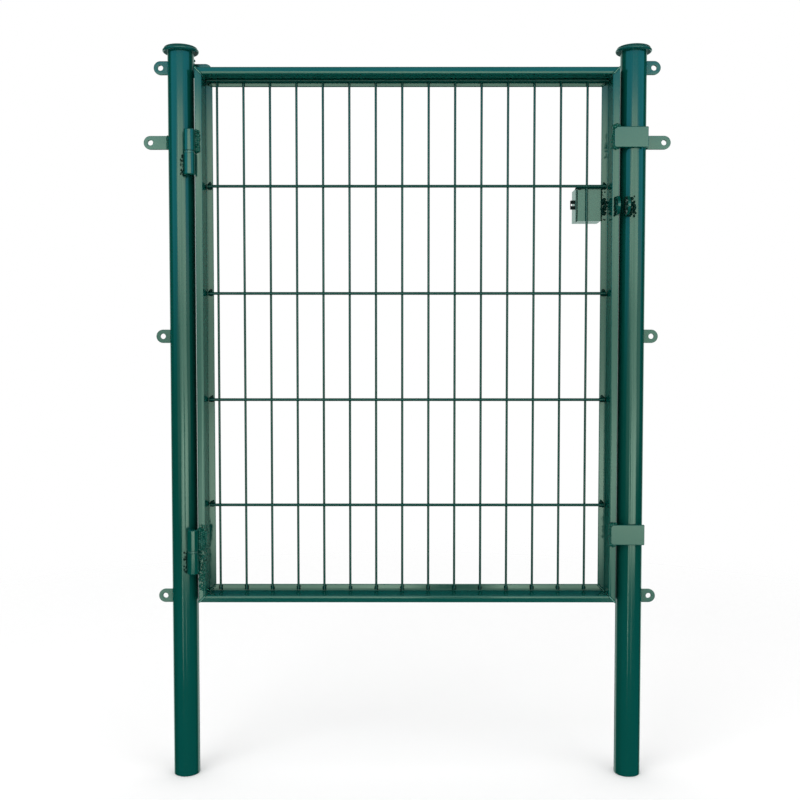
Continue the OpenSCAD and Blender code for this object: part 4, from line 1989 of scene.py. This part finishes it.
@dataclass
class Studio:
    """The floor, the lamps, the world and the camera, in metres and degrees."""

    floor_radius: float = 6.0
    floor_drop: float = 0.0005
    floor_fade: Point2 = (1.1, 2.6)
    floor_colour: Colour = (0.98, 0.98, 0.98)
    lamps: tuple[Lamp, ...] = (
        Lamp("key_lamp", (-1.6, -2.8, 3.0), 42.0),
        Lamp("fill_lamp", (2.8, -2.2, 2.2), 16.0),
    )
    lens: float = 45.0
    eye: Point3 = (0.40902, -1.8783, 0.7919)
    tilt: float = -2.482
    swing: float = 0.082
    flag_place: Point2 = (0.655, -2.63)
    flag_size: Point3 = (0.3, 0.1, 0.6)
    flag_colour: Colour = (0.004, 0.006, 0.006)
    surroundings: Surroundings = field(default_factory=Surroundings)

    def build(self) -> None:
        """Sets the stage."""
        self.surroundings.build()
        self._floor()
        for lamp in self.lamps:
            lamp.build()
        self._flag()
        self._camera()

    def _floor(self) -> None:
        """Makes the pale floor, which fades out into the backdrop."""
        low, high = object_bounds()
        middle = ((low[0] + high[0]) / 2, (low[1] + high[1]) / 2)
        disc = bmesh.new()
        bmesh.ops.create_circle(disc, cap_ends=True, segments=96, radius=self.floor_radius)
        bmesh.ops.translate(disc, verts=disc.verts, vec=(*middle, -self.floor_drop))
        floor = linked("floor", written(disc, "floor"))
        floor.visible_glossy = False
        paint, graph = blank_material("floor_paint")
        place = graph.place()
        away = graph.node("ShaderNodeVectorMath", {"operation": "DISTANCE"}, {0: place, 1: (*middle, 0.0)})
        fade = graph.number(away.outputs["Value"]).between(*self.floor_fade)
        matt = graph.matt(self.floor_colour)
        clear = graph.node("ShaderNodeBsdfTransparent").outputs[0]
        graph.finish(graph.mix_surfaces(fade, matt, clear))
        floor.data.materials.append(paint)
        floor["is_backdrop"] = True

    def _flag(self) -> None:
        """Stands a low dark flag in front of the gate, which only the glossy coat mirrors."""
        block = bmesh.new()
        bmesh.ops.create_cube(block, size=1.0)
        bmesh.ops.scale(block, verts=block.verts, vec=self.flag_size)
        bmesh.ops.translate(block, verts=block.verts, vec=(*self.flag_place, self.flag_size[2] / 2))
        flag = linked("dark_flag", written(block, "dark_flag"))
        flag.visible_camera = False
        flag.visible_diffuse = False
        flag.visible_shadow = False
        cloth, graph = blank_material("black_cloth")
        graph.finish(graph.matt(self.flag_colour))
        flag.data.materials.append(cloth)
        flag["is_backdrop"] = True

    def _camera(self) -> None:
        """Stands the camera in front of the gate."""
        data = bpy.data.cameras.new("camera")
        data.lens = self.lens
        camera = linked("camera", data)
        camera.location = self.eye
        camera.rotation_euler = (math.radians(90 + self.tilt), 0.0, math.radians(self.swing))
        bpy.context.scene.camera = camera


# ---------------------------------------------------------------- the gate


def main() -> None:
    """Builds the gate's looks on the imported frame."""
    logging.basicConfig(level=logging.INFO, format="%(name)s %(message)s")
    for leftover in list(bpy.data.objects):
        bpy.data.objects.remove(leftover)
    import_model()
    bpy.context.scene.view_settings.view_transform = "Standard"
    Studio().build()
    grower = Grower()
    for part in (
        GatePost("hinge", -1),
        GatePost("lock", 1),
        BackStop(),
        LeafFrame(),
        WireMesh(),
        Hinge(Level.UPPER),
        Hinge(Level.LOWER, weld_run=14.0, seed=55, spray=(75.0, 8.0)),
        StopPlate(Level.UPPER, seed=57),
        StopPlate(Level.LOWER, seed=59),
        LockSet(),
        PadlockEyes(),
    ):
        part.build(grower)


if __name__ == "__main__":
    main()
